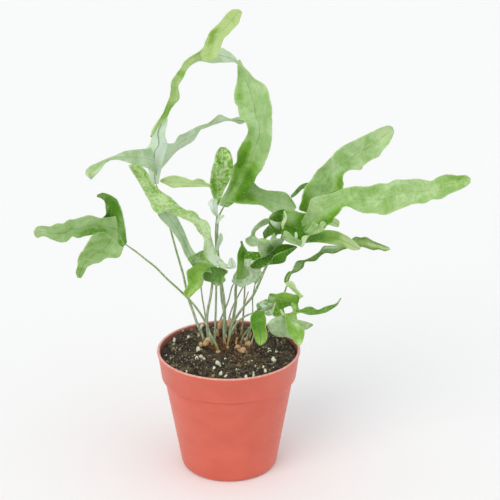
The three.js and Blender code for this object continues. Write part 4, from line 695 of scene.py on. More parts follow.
                 left=[(32, 195.5), (24, 196), (19, 195.5), (15, 198), (14, 202), (18, 204.5), (19, 209),
                 (22, 213.5), (26, 217.3), (30, 219.7), (34, 219.5)],
                 right=[(34, 199), (28, 201), (25, 202), (23, 203.5), (21.8, 206), (23, 209), (25.5, 211),
                 (29, 213.3), (33.5, 215.5)],
                 back=[1.5, 4, 8, 7, 4], lean=0.4, cup=1, wave=(0.4, 2)),
            dict(tone=0.95, bloom=0.05, start=40,
                 left=[(44, 211.5), (39, 213), (34, 214.3), (30, 210.5), (28, 207.5)],
                 right=[(43.5, 206.5), (38, 205.5), (35, 205), (32, 203.5), (29.3, 200.5)],
                 back=[-2, 1, 4], lean=0.5, cup=1, wave=(0.3, 1)),
            dict(tone=0.85, bloom=0, mottle=0.15, start=40, rib=0.3,
                 left=[(36.5, 209), (33, 214), (33, 220.5), (35.5, 224), (40, 226.7), (44, 227.5)],
                 right=[(44, 209), (46, 213), (47.3, 218.5), (47.6, 223), (46.5, 226.8)],
                 back=[-2, -3, -5, -3], lean=0.2, cup=2.5, wave=(0.6, 2)),
            dict(face="under", tone=0.6, bloom=0.35, mottle=0.2, start=40, rib=0,
                 left=[(33.3, 218.2), (34.7, 215.2), (37.9, 211.9), (41.9, 209.9)],
                 right=[(35.6, 218.1), (38.4, 216.9), (41.2, 216.7), (44.1, 217)],
                 back=[-6, -8, -8], lean=0, cup=-0.6, wave=(0, 0)),
            dict(tone=0.15, bloom=0.35, mottle=0.2, start=40, rib=0,
                 left=[(44.5, 226), (46.3, 221.2), (44.1, 218.2), (43.1, 214), (43.6, 210.4)],
                 right=[(46.2, 226), (47.7, 220.6), (46.9, 216.4), (45.5, 213.7), (45.3, 210.7)],
                 back=[-12, -13.5, -13], lean=0, cup=0.6, wave=(0, 0)),
            # the dark canoe lobe: its tone past deep green is a painted shade for the shadow it lies in
            dict(on=0, tone=1.45, bloom=-0.3, mottle=0.05, rib=0.3, bare=[(0.8, -0.3, 0.3, -0.25, 0)],
                 left=[(17.2, 177.5), (19.8, 181), (25, 185.5), (30.2, 187.2), (35.3, 191), (40.5, 196.2),
                 (44.1, 197.6), (49.8, 197.4), (56, 195.6)],
                 right=[(17.4, 176.4), (25, 176.2), (31.2, 178.8), (35.4, 183.3), (37.9, 187.7),
                 (45.7, 191.3), (50.9, 193.3), (55.8, 194.4)],
                 back=[3, -7, -12, -13, -13], lean=-0.4, cup=4, wave=(0.4, 2)),
            dict(face="under", tone=0.55, bloom=0.3, mottle=0.15, start=40, rib=0.2,
                 bare=[(0.25, 0.5, 0.3, 0.45, 0.3), (0.9, 0, 0.3, -0.2, -0.1)],
                 left=[(27, 186), (24.5, 192), (23.2, 201.5), (25.2, 201.8), (28, 199), (32.5, 199),
                 (34.7, 203.2), (36.6, 207.3)],
                 right=[(35, 190), (40, 195.5), (44.5, 198.5), (45.5, 202), (42, 202.4), (39.2, 202.8),
                 (38, 206.8)],
                 back=[-11, -13, -14, -11], lean=0.2, cup=-1, wave=(0, 0)),
            # the outer side under the canoe's margin: its tone past deep green is a painted shade
            dict(on=8, tone=1.25, bloom=-0.2, mottle=0.15, rib=0.3, bare=[(0.05, -0.4, 0.15, -0.7, -0.4)],
                 left=[(31.5, 180.5), (35.6, 184), (38, 188), (45.7, 191.7), (51, 193.8), (55.8, 195.4)],
                 right=[(33, 179.5), (39, 180.2), (43, 180.8), (46.5, 182.5), (48, 187), (51, 189.8),
                 (54, 192.5), (56.3, 195)],
                 back=[-12, -16, -18, -15], lean=0.5, cup=-1.5, wave=(0.5, 2)),
        ]),
    "frond_trailing": dict(
        slot="frond_green", stipe=dict(radius=(1, 0.8), into=0, line=[(-1, 107, 2), (2, 119, 2),
            (7, 128, 0), (14, 134, -4), (21, 137, -8), (27, 139, -11), (34, 142, -13), (41, 149, -14),
            (46, 155, -13), (48, 161, -12)]),
        blades=[
            dict(tone=0.72, bloom=-0.1, mottle=0.15, start=40, rib=0, bare=[(0.05, 0, 0.3, -0.2, -0.65),
                 (0.55, -0.3, 0.2, -0.15, 0)],
                 left=[(33.6, 153.9), (35.4, 154.6), (40.1, 154), (45.4, 155.7), (48.5, 155.1),
                 (53.3, 153.8), (57, 153), (58.3, 150.9)],
                 right=[(32.4, 148), (34.4, 146), (37, 145.7), (42.3, 146.6), (47.6, 146.2), (51.3, 145.1),
                 (55, 144), (57.6, 145.7), (58.5, 149.2)],
                 back=[-15, -15.5, -18, -18.5], lean=0.5, cup=-2, wave=(0.6, 3)),
            dict(face="under", tone=0.7, bloom=0.35, mottle=0.45, start=40, rib=0,
                 bare=[(0.8, 0.5, 0.35, 0.5, 0.4)],
                 left=[(38, 149.5), (35.3, 149.7), (32, 149.6), (27.5, 148), (23, 144.9), (23.6, 140.5)],
                 right=[(38, 134.5), (36, 134.5), (32.5, 134), (29.3, 136.6), (26.5, 138.5), (24, 139.5)],
                 back=[-13, -11, -8], lean=-0.3, cup=1, wave=(0.6, 2)),
            dict(tone=0.75, bloom=0, mottle=0.35, start=40, rib=0,
                 left=[(38.2, 147.5), (37.3, 143.5), (36.4, 140), (36.2, 136.6), (37.2, 133.7)],
                 right=[(47.6, 147.5), (47, 143.5), (45.8, 140.6), (46.7, 137.2), (46.1, 133.1)],
                 back=[-13, -14.5, -15.5], lean=0.2, cup=1.5, wave=(0.4, 2)),
            dict(face="under", tone=0.42, bloom=0.35, mottle=0.2, start=40, rib=0.2,
                 bare=[(0.15, 0.3, 0.2, 0.2, 0.2), (0.9, 0, 0.2, -0.1, 0.1)],
                 left=[(42.9, 134.3), (36.1, 131.5), (33.2, 128.8), (31.7, 125.9), (32.9, 121.3),
                 (37.2, 117), (42.5, 115.1), (48.4, 114.9), (52.3, 113.2)],
                 right=[(47.1, 136.6), (52.4, 134.3), (57.8, 129.7), (61.6, 123.9), (60, 119.3),
                 (55.8, 115.8), (53.7, 112.8)],
                 back=[-14.5, -15, -13, -12], lean=0.1, cup=-1.5, wave=(0.6, 2)),
            dict(tone=0.55, bloom=0.02, mottle=0.15, start=40, rib=0.3, bare=[(1, 0, 0.3, -0.35, 0),
                 (0.1, 0, 0.2, 0, -0.15), (0.48, 0.4, 0.14, -0.3, -0.5)],
                 left=[(51.5, 146.3), (52.1, 142.3), (53.2, 138.6), (50.9, 136.8), (47.2, 135.9),
                 (47.1, 130.8), (48, 123.9), (48.6, 119.9), (51.6, 115.8), (53.5, 112.6), (55.9, 108.8),
                 (59.1, 107.2)],
                 right=[(57.7, 146.3), (57.9, 142.3), (59, 139.3), (56.9, 136.6), (57.2, 131.4),
                 (60, 126.2), (63, 122.5), (63.5, 119.3), (62.9, 114.6), (61.8, 110.5), (60.1, 107.4)],
                 back=[-17, -18, -21, -26, -27], lean=0.25, cup=2, wave=(0.5, 3)),
            dict(on=4, face="under", tone=0.5, bloom=0.15, mottle=0.2, rib=0.3,
                 left=[(52, 132), (60, 130.3), (65, 129), (70, 127)],
                 right=[(52, 124), (60, 121.5), (63.5, 121.3), (67, 123), (70.2, 125.6)],
                 back=[-21, -17, -12], lean=0.2, cup=0.8, wave=(0.4, 1)),
            dict(on=4, tone=0.75, bloom=0.05, mottle=0.2, rib=0.4, bare=[(0.92, 0, 0.25, -0.2, -0.4),
                 (0.1, 0.6, 0.15, -0.4, -0.1)],
                 left=[(54, 141.5), (57.5, 140), (61, 140.5), (64.5, 142.3), (69, 142.5), (74, 139.8),
                 (80, 142.7), (85, 144.2), (89, 145.5), (91, 148), (92.3, 150.5)],
                 right=[(54, 134), (59, 136.8), (63, 136), (67, 135), (71, 135.2), (76, 135.7), (81, 137.3),
                 (86, 140.5), (90, 143.5), (91.7, 147), (93.2, 150)],
                 back=[-19, -15, -9, -2, 4], lean=0.5, cup=1.2, wave=(0.6, 3)),
            dict(tone=0.35, bloom=0.25, start=40, rib=0,
                 left=[(38.6, 146.6), (36.7, 140.3), (36, 136.8)],
                 right=[(39.4, 146.4), (37.8, 140.3), (36.9, 136.8)],
                 back=[-17, -18, -18], lean=0, cup=0.3, wave=(0, 0)),
            dict(tone=0.3, bloom=0.2, start=40, rib=0,
                 left=[(42.5, 139.6), (43.4, 136), (45.6, 133.7)],
                 right=[(43.8, 140.3), (46.1, 137.2), (47.7, 134.3)],
                 back=[-17, -18, -19], lean=0, cup=0.3, wave=(0, 0)),
            dict(tone=0.85, bloom=-0.1, mottle=0.15, start=40, rib=0,
                 left=[(39.7, 146.9), (45.5, 147.2), (51.3, 145.7), (55, 144.6)],
                 right=[(40, 141.8), (45.5, 141.1), (48.4, 142.4), (51.3, 143), (53.4, 138.9)],
                 back=[-14, -14, -15], lean=0.2, cup=0.8, wave=(0.3, 2)),
            dict(tone=0.9, bloom=-0.2, mottle=0.05, start=40, rib=1.8, bare=[(1, 0, 0.4, -0.85, 0),
                 (0.7, -0.9, 0.3, -0.3, 0), (0.7, 0.9, 0.3, -0.3, 0)],
                 left=[(22.5, 139), (18.3, 134), (18.2, 127.2), (19.9, 120.7), (20.9, 116), (22.7, 111),
                 (25.4, 107.2)],
                 right=[(28, 140), (30.8, 134), (31.5, 128), (31, 123), (32, 121), (32, 113.3),
                 (29.6, 108.8), (26.6, 107.2)],
                 back=[-10, -17, -21, -22], lean=-0.25, cup=2, wave=(0.7, 3)),
            dict(face="under", tone=0.92, bloom=0, mottle=0.12, start=40, rib=0,
                 bare=[(0.2, 0.8, 0.1, 0.3, 0.4), (0.36, 0.8, 0.08, 0.3, 0.4), (0.56, 0.8, 0.1, 0.3, 0.5),
                 (0.5, -0.6, 0.12, -0.3, -0.4), (0.97, 0, 0.35, -1.2, 0.1), (0, 0, 0.15, -0.8, 0.3)],
                 left=[(45.8, 164), (46, 168), (49, 173.5), (52, 174.3), (54, 179.5), (56.5, 183.3),
                 (62, 183.8), (66, 185.5), (70, 188), (74, 191), (77.5, 195.8), (82, 196.3), (90, 196.5),
                 (97, 199), (103, 204), (108, 203.3), (112, 204), (116, 201.5), (121, 199), (126, 197),
                 (131, 194.7)],
                 right=[(49.4, 165), (50.6, 168.5), (52, 171.5), (57, 173.5), (61.5, 177.5), (63, 182),
                 (68, 182.5), (71.5, 183), (75, 187), (79, 189.7), (86, 189.2), (93, 192.5), (100, 194.5),
                 (107, 195.3), (113, 194), (118, 192.3), (123, 192.8), (128, 191.5), (132, 193)],
                 back=[-12, -10, -8, -3, 3, 9, 11, 6], lean=0.5, cup=1, wave=(1, 5)),
            dict(on=11, tone=-0.15, bloom=0.2, rib=0, bare=[(0.5, -0.6, 0.3, 0.1, -0.4),
                 (1, -0.5, 0.2, 0.45, 0.2)],
                 left=[(46.4, 164), (49.5, 165.3), (52.6, 165.1), (55.2, 161.6), (55.8, 159.4), (58, 156.6),
                 (60.1, 153.7), (62, 152.1)],
                 right=[(46.6, 163.6), (48.2, 161.1), (51.1, 158.8), (54.3, 155.4), (57, 152.6),
                 (58.3, 149.7), (59.6, 149.6)],
                 back=[-12, -15, -20], lean=0.3, cup=0.8, wave=(0.4, 2)),
        ]),
    "young_leaf_1": dict(
        slot="frond_pale", stipe=dict(radius=(0.9, 0.7), into=0.5, line=[(-17, 108, 8), (-18, 120, 8),
            (-19, 130, 7), (-20, 140, 7), (-21.5, 150, 7), (-22.5, 160, 8)]),
        blades=[
            dict(face="under", tone=0.4, bloom=0.4,
                 left=[(-23.5, 161), (-25, 165), (-26, 170), (-25, 174)],
                 right=[(-21.5, 161), (-20, 166), (-20.5, 171), (-23, 174.5)],
                 back=[8, 9, 10], lean=0.2, cup=1, wave=(0.2, 1)),
        ]),
    "young_leaf_2": dict(
        slot="frond_pale", stipe=dict(radius=(1, 0.7), into=0.5, line=[(-10, 110, 20), (-9, 120, 22),
            (-7, 130, 23), (-3, 140, 24), (0, 148, 25), (3, 160, 26)]),
        blades=[
            dict(face="under", tone=0.45, bloom=0.4,
                 left=[(4, 164), (3.8, 169), (7.3, 176), (8, 184), (9, 190)],
                 right=[(6, 163), (11, 169), (14, 176), (14, 184), (11, 190)],
                 back=[27, 30, 34, 36], lean=0.3, cup=1.5, wave=(0.6, 2)),
        ]),
    "young_leaf_3": dict(
        slot="frond_pale", stipe=dict(radius=(0.9, 0.7), into=0.5, line=[(-2, 112, 27), (0, 130, 28),
            (3, 141, 29), (7, 150, 30), (12, 160, 31)]),
        blades=[
            dict(tone=0.6, bloom=0.3,
                 left=[(13, 163), (14, 170), (17, 178), (22, 185), (28, 190)],
                 right=[(16, 162), (22, 168), (27, 176), (31, 184), (31, 190)],
                 back=[31, 36, 44, 52], lean=-0.3, cup=1.5, wave=(0.8, 2)),
        ]),
    "young_leaf_4": dict(
        slot="frond_pale", stipe=dict(radius=(1.1, 0.8), into=0.5, line=[(9, 110, 20), (11, 122, 22),
            (12, 132, 23), (13, 148, 23), (13.5, 160, 22)]),
        blades=[
            dict(face="under", tone=0.5, bloom=0.4,
                 left=[(12.5, 164), (11, 170), (12, 178), (14, 185)],
                 right=[(14.5, 164), (18, 170), (19, 178), (17, 186)],
                 back=[22, 22, 20], lean=0.3, cup=1, wave=(0.3, 1)),
        ]),
    "young_leaf_5": dict(
        slot="frond_pale", stipe=dict(radius=(0.8, 0.6), into=0.5, line=[(15, 110, 24), (18, 122, 25),
            (20, 135, 25), (20, 150, 24), (21.5, 160, 23)]),
        blades=[
            dict(face="under", tone=0.4, bloom=0.45,
                 left=[(21.3, 163), (21, 167), (22, 173)],
                 right=[(23, 163), (26, 167), (26, 173)],
                 back=[22, 21, 19], lean=0.2, cup=0.8, wave=(0.2, 1)),
        ]),
    "dried_stalk": dict(
        slot="dry_stalk", stipe=dict(radius=(0.8, 0.5), into=0, line=[(11, 110, 13), (12, 130, 13),
            (13.3, 145, 13), (16.5, 156, 12)]),
        blades=[]),
}
bladeDefaults = {"face": "upper", "mottle": 0.1, "rib": 0.9, "bare": (), "joined": ()}
# The eye's place, and the heights between which fronds lie further back, and how much further
sight = {"eye": (17.8, -1002.4, 565.3), "arch": (110, 240), "archGrowth": 0.8}
eye = Vector(sight["eye"])
leafForm = {
    "rowStep": 1.3, "columnStep": 1.15, "rowCrowding": 1.15, "thickness": 0.55, "footThickness": 0.3,
    "edgeThinning": 0.14, "thinFrom": 0.7, "lobeBlend": 0.2, "lobeStart": 40, "joinedEdge": 0.85,
    "ribHeight": 0.3, "ribWidth": 0.8, "calmFoot": 0.25, "calmTip": 0.06, "ruffleShift": 0.3,
    "cupFrom": 8, "ruffleFrom": 7,  # half widths below which the trough and the ruffles grow shallow
    "ruffle": 0.6, "ruffleLength": 7, "pucker": 0.45, "puckerLength": 8, "notch": 0.07, "notchLength": 3.5,
}
stipeForm = {
    "sides": 10, "step": 1.6, "rootDepth": 6, "ribSteps": 14, "ribTaper": 1.6, "ribEnd": 0.28, "girth": 0.84,
    "bump": 0.05, "bumpLength": 5,
}


def seen(across, up, back):
    arch = 1 + sight["archGrowth"] * smoothstep(*sight["arch"], up)
    reach = (back * arch - eye.y) / -eye.y
    return (eye + (Vector((across, 0, up)) - eye) * reach) * mm


# The blade's sheet, with fine ruffles and notches on its edges that depend on the blade's own seed
def bladeSheet(blade, parent, seed):
    form = leafForm
    left, right = smoothLine(blade["left"]), smoothLine(blade["right"])
    depthAt = smoothLine([(i * 1000, value) for i, value in enumerate(blade["back"])])
    height, count = blade["wave"]
    length = (left.length + right.length) / 2
    edges = {}

    def edgesAt(t):
        if t not in edges:
            edges[t] = (left(t), right(t), depthAt(t)[1])
        return edges[t]

    def at(t, s):
        a, b, back = edgesAt(t)
        halfWidth = (b - a).length / 2
        rise = smoothstep(0, form["calmFoot"], t)
        side = 7 if s > 0 else -7  # the two edges differ
        notch = noise.noise((t * length / form["notchLength"], side, seed))
        inward = 1 - form["notch"] * max(notch, 0) * rise * abs(s) ** 3
        middle = (a + b) / 2
        flat = middle + (b - a) / 2 * s * inward
        shift = form["ruffleShift"] if s > 0 else 0
        ruffle = height * s * s * math.sin(2 * math.pi * (count * t + shift)) * rise
        trough = blade["cup"] * min(halfWidth / form["cupFrom"], 1) * (1 - abs(s) ** 1.5) * rise
        breadth = min(halfWidth / form["ruffleFrom"], 1)
        crimp = noise.noise((t * length / form["ruffleLength"], side, seed + 40)) * breadth
        crimp *= form["ruffle"] * abs(s) ** 2.5 * rise * smoothstep(0, form["calmTip"], 1 - t)
        pucker = noise.noise((t * length / form["puckerLength"], s * 1.5, seed + 80))
        pucker *= (1 - abs(s)) ** 0.5 * form["pucker"] * breadth * rise
        own = back + blade["lean"] * s * halfWidth + ruffle + trough + crimp + pucker
        if parent:
            share = smoothstep(0, form["lobeBlend"], t)
            if share < 1:
                own = between(parent(flat), own, share)
        return Vector((flat.x, flat.y, own))

    at.length = length
    at.halfWidth = lambda t: (edgesAt(t)[1] - edgesAt(t)[0]).length / 2
    return at


# How far back a sheet lies at a flat place, from its nearest few places
def sheetDepth(sheet):
    rows, columns, nearest = 90, 16, 4
    places = [sheet(i / rows, 2 * j / columns - 1) for i in range(rows + 1) for j in range(columns + 1)]
    tree = kdtree.KDTree(len(places))
    for i, place in enumerate(places):
        tree.insert((place.x, place.y, 0), i)
    tree.balance()

    def at(flat):
        total = weights = 0
        for _, i, distance in tree.find_n((flat[0], flat[1], 0), nearest):
            weight = 1 / (distance + 0.05)
            total += places[i].z * weight
            weights += weight
        return total / weights

    return at


# A blade: a flat grid bent onto its sheet, thickened, with its midrib raised and its edges thinned
def addBlade(bm, blade, sheet):
    form = leafForm
    layers = bm.verts.layers.float
    widest = max(sheet.halfWidth(i / 10) for i in range(11))
    rows = max(round(sheet.length / form["rowStep"]), 6)
    columns = 2 * max(round(widest / form["columnStep"]), 3)
    grid = bmesh.ops.create_grid(bm, x_segments=columns, y_segments=rows, size=1)["verts"]
    lobe = "on" in blade
    start = blade.get("start", form["lobeStart"] if lobe else 0)
    for vert in grid:
        t, s = (vert.co.y + 1) / 2, vert.co.x
        t = 1 - (1 - t) ** form["rowCrowding"]
        vert.co = seen(*sheet(t, s))
        vert[layers["across"]] = s * sheet.halfWidth(t)
        vert[layers["along"]] = t * sheet.length + start
        joined = any(s * side > 0 and t0 < t < t1 for side, t0, t1 in blade["joined"])
        vert[layers["edge"]] = min(abs(s), form["joinedEdge"]) if joined else abs(s)
        tone, bloom = blade["tone"], blade["bloom"]
        for t0, s0, size, deeper, barer in blade["bare"]:
            near = math.exp(-((t - t0) ** 2 + ((s - s0) / 3) ** 2) / (size / 1.5) ** 2)
            tone += deeper * near
            bloom -= barer * near
        vert[layers["tone"]] = tone
        vert[layers["bloom"]] = bloom
        vert[layers["mottle"]] = blade["mottle"]
        vert[layers["rib"]] = blade["rib"]
    faces = list({face for vert in grid for face in vert.link_faces})
    bm.normal_update()
    facing = sum((face.normal.dot(eye * mm - face.calc_center_median()) > 0) - 0.5 for face in faces)
    if facing < 0:
        bmesh.ops.reverse_faces(bm, faces=faces)
    bm.normal_update()
    for vert in grid:
        vert.co += vert.normal * form["thickness"] / 2 * mm
    front = set(faces)
    grown = bmesh.ops.solidify(bm, geom=faces, thickness=form["thickness"] * mm)["geom"]
    back = {item for item in grown if isinstance(item, bmesh.types.BMFace)}
    island = list({vert for face in front | back for vert in face.verts})
    shell = list({face for vert in island for face in vert.link_faces})
    bmesh.ops.recalc_face_normals(bm, faces=shell)
    for face in shell:
        face.material_index = 0 if (blade["face"] == "upper") == (face in front) else 1
    bm.normal_update()
    moves = []
    for vert in island:
        across, share = vert[layers["across"]], (vert[layers["along"]] - start) / sheet.length
        rib = form["ribHeight"] * math.exp(-(across / form["ribWidth"]) ** 2) * (1 - share)
        thin = form["edgeThinning"] * smoothstep(form["thinFrom"], 1, vert[layers["edge"]])
        if lobe:
            foot = 1 - smoothstep(0, form["lobeBlend"], share)
            thin += foot * (form["thickness"] - form["footThickness"]) / 2
            rib *= 1 - foot
        moves.append((vert, vert.normal * (rib - thin) * mm))
    for vert, move in moves:
        vert.co += move


# A stipe, with its way on into its blade as a tapering midrib
def addStipe(bm, frond, sheet):
    form, stipe = stipeForm, frond["stipe"]
    stations = [seen(*place) for place in stipe["line"]]
    stations.insert(0, stations[0] - Vector((0, 0, form["rootDepth"] * mm)))
    start, end = stipe["radius"]
    ground = len(stations)
    if stipe["into"]:
        shares = [stipe["into"] * (i + 1) / form["ribSteps"] for i in range(form["ribSteps"])]
        stations += [seen(*sheet(share, 0)) for share in shares]
    line = smoothLine(stations)
    total = line.length
    blade = sum((b - a).length for a, b in zip(stations[ground - 1:], stations[ground:]))
    foot = 1 - blade / total

    def radiusAt(share, turn):
        if share < foot or not stipe["into"]:
            radius = between(start, end, share / foot)
        else:
            radius = between(end, form["ribEnd"], min((share - foot) / (1 - foot) * form["ribTaper"], 1))
        bump = noise.noise((share * total / mm / form["bumpLength"], math.cos(turn), math.sin(turn)))
        return form["girth"] * radius * (1 + form["bump"] * bump)

    steps = round(total / mm / form["step"])
    material = 3 if frond["slot"] == "dry_stalk" else 2
    bar(bm, line, radiusAt, form["sides"], steps, material, start=-form["rootDepth"])


for number, (name, frond) in enumerate(fronds.items()):
    bm = newMesh()
    sheets = []
    for i, values in enumerate(frond["blades"]):
        blade = {**bladeDefaults, **values}
        parent = sheetDepth(sheets[blade["on"]]) if "on" in blade else None
        sheets.append(bladeSheet(blade, parent, number * 20 + i))
        addBlade(bm, blade, sheets[-1])
    addStipe(bm, frond, sheets[0] if sheets else None)
    piece = name.replace("frond_", "fern_") if "frond_" in name else name + "_fine"
    finishPiece(piece, bm, ("upper", "under", "stipe", "dryStalk"), [name])
print("fronds made")


# Pot: a turned shell with a collar, a rolled lip and drain holes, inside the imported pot's own box
potForm = {
    "collarHeight": 23, "collarFoot": 56.6, "bodyTop": 54.2, "base": 41, "corner": 4, "wall": 1.6, "lip": 2.4,
    "floor": 2, "floorRound": 2, "ledge": 1.2, "round": 0.6, "steps": 160, "sharpFrom": 35,
    "hollow": 0.3, "footRing": (3, 2.4),  # the underside is hollow inside a ring
    "rimFlare": [(0.9, 3.4), (0.25, 2.6)],  # how far inside and below the rim the wall is, on its way up
    "holes": 8, "holeRadius": 4, "holeCircle": 27, "holeSides": 24, "cutDepth": 8,
}


def arc(centre, radius, start, end, steps=4):
    turns = [math.radians(between(start, end, i / steps)) for i in range(steps + 1)]
    return [(centre[0] + radius * math.cos(turn), centre[1] + radius * math.sin(turn)) for turn in turns]


def turned(bm, profile, steps):
    verts = [bm.verts.new((radius * mm, 0, height * mm)) for radius, height in profile]
    edges = [bm.edges.new(pair) for pair in zip(verts, verts[1:])]
    bmesh.ops.spin(bm, geom=verts + edges, cent=(0, 0, 0), axis=(0, 0, 1), angle=2 * math.pi, steps=steps,
                   use_merge=True)
    bmesh.ops.remove_doubles(bm, verts=bm.verts, dist=1e-6)
    bmesh.ops.recalc_face_normals(bm, faces=bm.faces)


def potProfile():
    form = potForm
    rim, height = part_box("pot")[1][0] / mm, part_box("pot")[1][2] / mm
    foot = height - form["collarHeight"]
    corner, lip, wall, hollow = form["corner"], form["lip"], form["wall"], form["hollow"]
    ringStart, ringEnd = (form["base"] - corner - inward for inward in form["footRing"])
    profile = [(0, hollow), (ringStart, hollow), (ringEnd, 0)]
    profile += arc((form["base"] - corner, corner), corner, -90, -10, 6)
    profile += [(form["bodyTop"], foot - form["ledge"])]
    profile += arc((form["collarFoot"] - form["round"], foot + 0.1), form["round"], -80, 0)
    profile += [(rim - inward, height - down) for inward, down in form["rimFlare"]]
    profile += arc((rim - lip / 2, height - lip / 2), lip / 2, 0, 180, 10)
    profile += [(rim - lip, height - form["rimFlare"][1][1])]
    profile += [(form["collarFoot"] - wall, foot + form["ledge"])]
    profile += [(form["bodyTop"] - wall, foot - form["ledge"])]
    profile += [(form["base"] - wall, form["floor"] + form["floorRound"])]
    profile += [(form["base"] - wall - form["floorRound"], form["floor"]), (0, form["floor"])]
    return profile


def drainCutters():
    form = potForm
    bm = bmesh.new()
    for i in range(form["holes"]):
        turn = 2 * math.pi * i / form["holes"]
        centre = Vector((math.cos(turn), math.sin(turn), 0)) * form["holeCircle"] * mm
        radius = form["holeRadius"] * mm
        made = bmesh.ops.create_cone(bm, cap_ends=True, segments=form["holeSides"], radius1=radius,
                                     radius2=radius, depth=form["cutDepth"] * mm)
        bmesh.ops.translate(bm, verts=made["verts"], vec=centre)
    mesh = bpy.data.meshes.new("cutters")
    bm.to_mesh(mesh)
    bm.free()
    cutters = bpy.data.objects.new("cutters", mesh)
    bpy.context.scene.collection.objects.link(cutters)
    return cutters


def makePot():
    bm = newMesh()
    turned(bm, potProfile(), potForm["steps"])
    pot = finishPiece("nurseryPot", bm, ("pot",), ["pot"])
    cutters = drainCutters()
    cut = pot.modifiers.new("drain holes", "BOOLEAN")
    cut.object = cutters
    cut.solver = "EXACT"
    mesh = bpy.data.meshes.new_from_object(pot.evaluated_get(bpy.context.evaluated_depsgraph_get()))
    pot.modifiers.clear()
    pot.data = mesh
    for polygon in mesh.polygons:
        polygon.use_smooth = True
    mesh.set_sharp_from_angle(angle=math.radians(potForm["sharpFrom"]))
    bpy.data.objects.remove(cutters)


makePot()
print("pot made")


# Soil: a crumbly top of damp peat with grains in it, a little clear of the pot's wall
soilForm = {
    "height": 100, "mound": 3, "reach": 58, "backRise": 2.4, "backFrom": (10, 52), "gap": 0.5,
    "floorRadius": 38, "side": [(39, 4.6), (54, 80), (55.3, 83.5)], "edgeDrop": 2,  # up the pot's wall
    "rings": 56, "steps": 190, "settled": (0.86, 0.98),  # flat towards its edge
    "broad": 1.1, "crumb": 1.7, "crumbLength": 4.5, "fine": 0.6, "fineLength": 1.4, "tintLength": 9,
    "cloud": 0.35, "plugTint": -0.3,
}
# loose bits: how many, how fine their mesh, sizes from and to, flatness and tints from and to
looseBits = {
    "crumbs": (1500, 1, (0.4, 1.5), 1, (-0.55, 0.6)),
    "grains": (170, 1, (0.25, 0.55), 1, (-0.6, 0.4)),
    "perlite": (34, 2, (0.5, 1.3), 1, (-0.5, 0.3)),
    "chips": (300, 1, (0.5, 1.9), 0.4, (-0.5, 0.6)),
}
looseReach = 54.5
# a smooth dark block of peat before the clump
peatPlug = {"place": (-10, -9), "size": (12, 8), "edge": (0.8, 1.2), "smooth": 0.85}
# perlite lumps seen from the front: x, y, size, tint
perliteLumps = [(-25.5, 1.3, 4.6, -0.2), (-22.6, 3.3, 2.2, -0.02), (-26.1, -16.8, 3.4, 0.15),
                (-22.7, -14.5, 4.2, -0.41), (-27.9, -9.8, 2.2, 0.15), (-20.2, -16.8, 2.4, -0.41),
                (-28.4, -26.3, 1.6, 0.15), (-8.3, -26.9, 4.6, -0.06), (-11.4, -35.2, 2.6, 0.15),
                (-5.9, -44.2, 3.2, -0.02), (-1.8, -46, 2.6, -0.2), (33.7, 6.3, 1.8, 0.15),
                (34, 0, 3, -0.27), (40, -1.3, 2.4, -0.48), (37.5, -19.3, 4.2, 0.15),
                (30.2, -37.2, 3.2, -0.41), (28.7, -32.4, 2.4, -0.06), (24.6, -32.8, 1.6, -0.2),
                (6.9, -37.2, 1.6, 0.15), (14.6, -49.3, 3.2, -0.34), (20.7, -41.8, 2, -0.2),
                (-24, 48.7, 3.8, 0.01), (-25.5, 41.2, 3.4, 0.01), (-19, 46.6, 2.2, 0.15),
                (-34.8, 29.4, 2.8, -0.2), (-26, 28.7, 2.6, -0.2), (-46.7, 20.3, 3, -0.2),
                (-46.8, 26.2, 2, 0.15), (-46.7, 15.6, 2, -0.34), (-40.6, 41.2, 2, 0.01),
                (35.4, 36.7, 2, -0.06), (19.5, -18.9, 1.6, 0.15), (11.4, 7.4, 1.5, 0.15),
                (-33.5, -38.1, 2.2, -0.41), (-39.5, -16.8, 1.6, -0.2)]


def plugAt(x, y):
    aside, ahead = ((value - centre) / size
                    for value, centre, size in zip((x, y), peatPlug["place"], peatPlug["size"]))
    return 1 - smoothstep(*peatPlug["edge"], math.hypot(aside, ahead))


def soilRise(x, y):
    form = soilForm
    share = math.hypot(x, y) / form["reach"]
    settled = (1 - smoothstep(*form["settled"], share)) * (1 - peatPlug["smooth"] * plugAt(x, y))
    broad = math.sin(x * 0.13 + 0.7) * math.cos(y * 0.11 - 0.4) * form["broad"]
    crumb = noise.noise((x / form["crumbLength"], y / form["crumbLength"], 3)) * form["crumb"]
    fine = noise.noise((x / form["fineLength"], y / form["fineLength"], 9)) * form["fine"]
    back = form["backRise"] * smoothstep(*form["backFrom"], y)
    return form["height"] + form["mound"] * (1 - share * share) + back + (broad + crumb + fine) * settled


def wallRadius(height):
    top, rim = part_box("pot")[1][2] / mm, 60
    share = (height - top + potForm["collarHeight"]) / potForm["collarHeight"]
    return between(potForm["collarFoot"] - potForm["wall"], rim - potForm["lip"], share) - soilForm["gap"]


# Copies of one small shape, each moved to its place, with its own tint
def addCopies(bm, template, count, settle, material=0):
    mesh = bpy.data.meshes.new("copies")
    template.to_mesh(mesh)
    template.free()
    each = len(mesh.vertices)
    pile = newMesh()
    for _ in range(count):
        pile.from_mesh(mesh)
    pile.verts.ensure_lookup_table()
    tone = pile.verts.layers.float["tone"]
    for number in range(count):
        move, tint = settle(number)
        for vert in pile.verts[number * each:(number + 1) * each]:
            vert.co = move(vert.co) * mm
            vert[tone] = tint
    for face in pile.faces:
        face.material_index = material
    pile.to_mesh(mesh)
    pile.free()
    bm.from_mesh(mesh)
    bpy.data.meshes.remove(mesh)


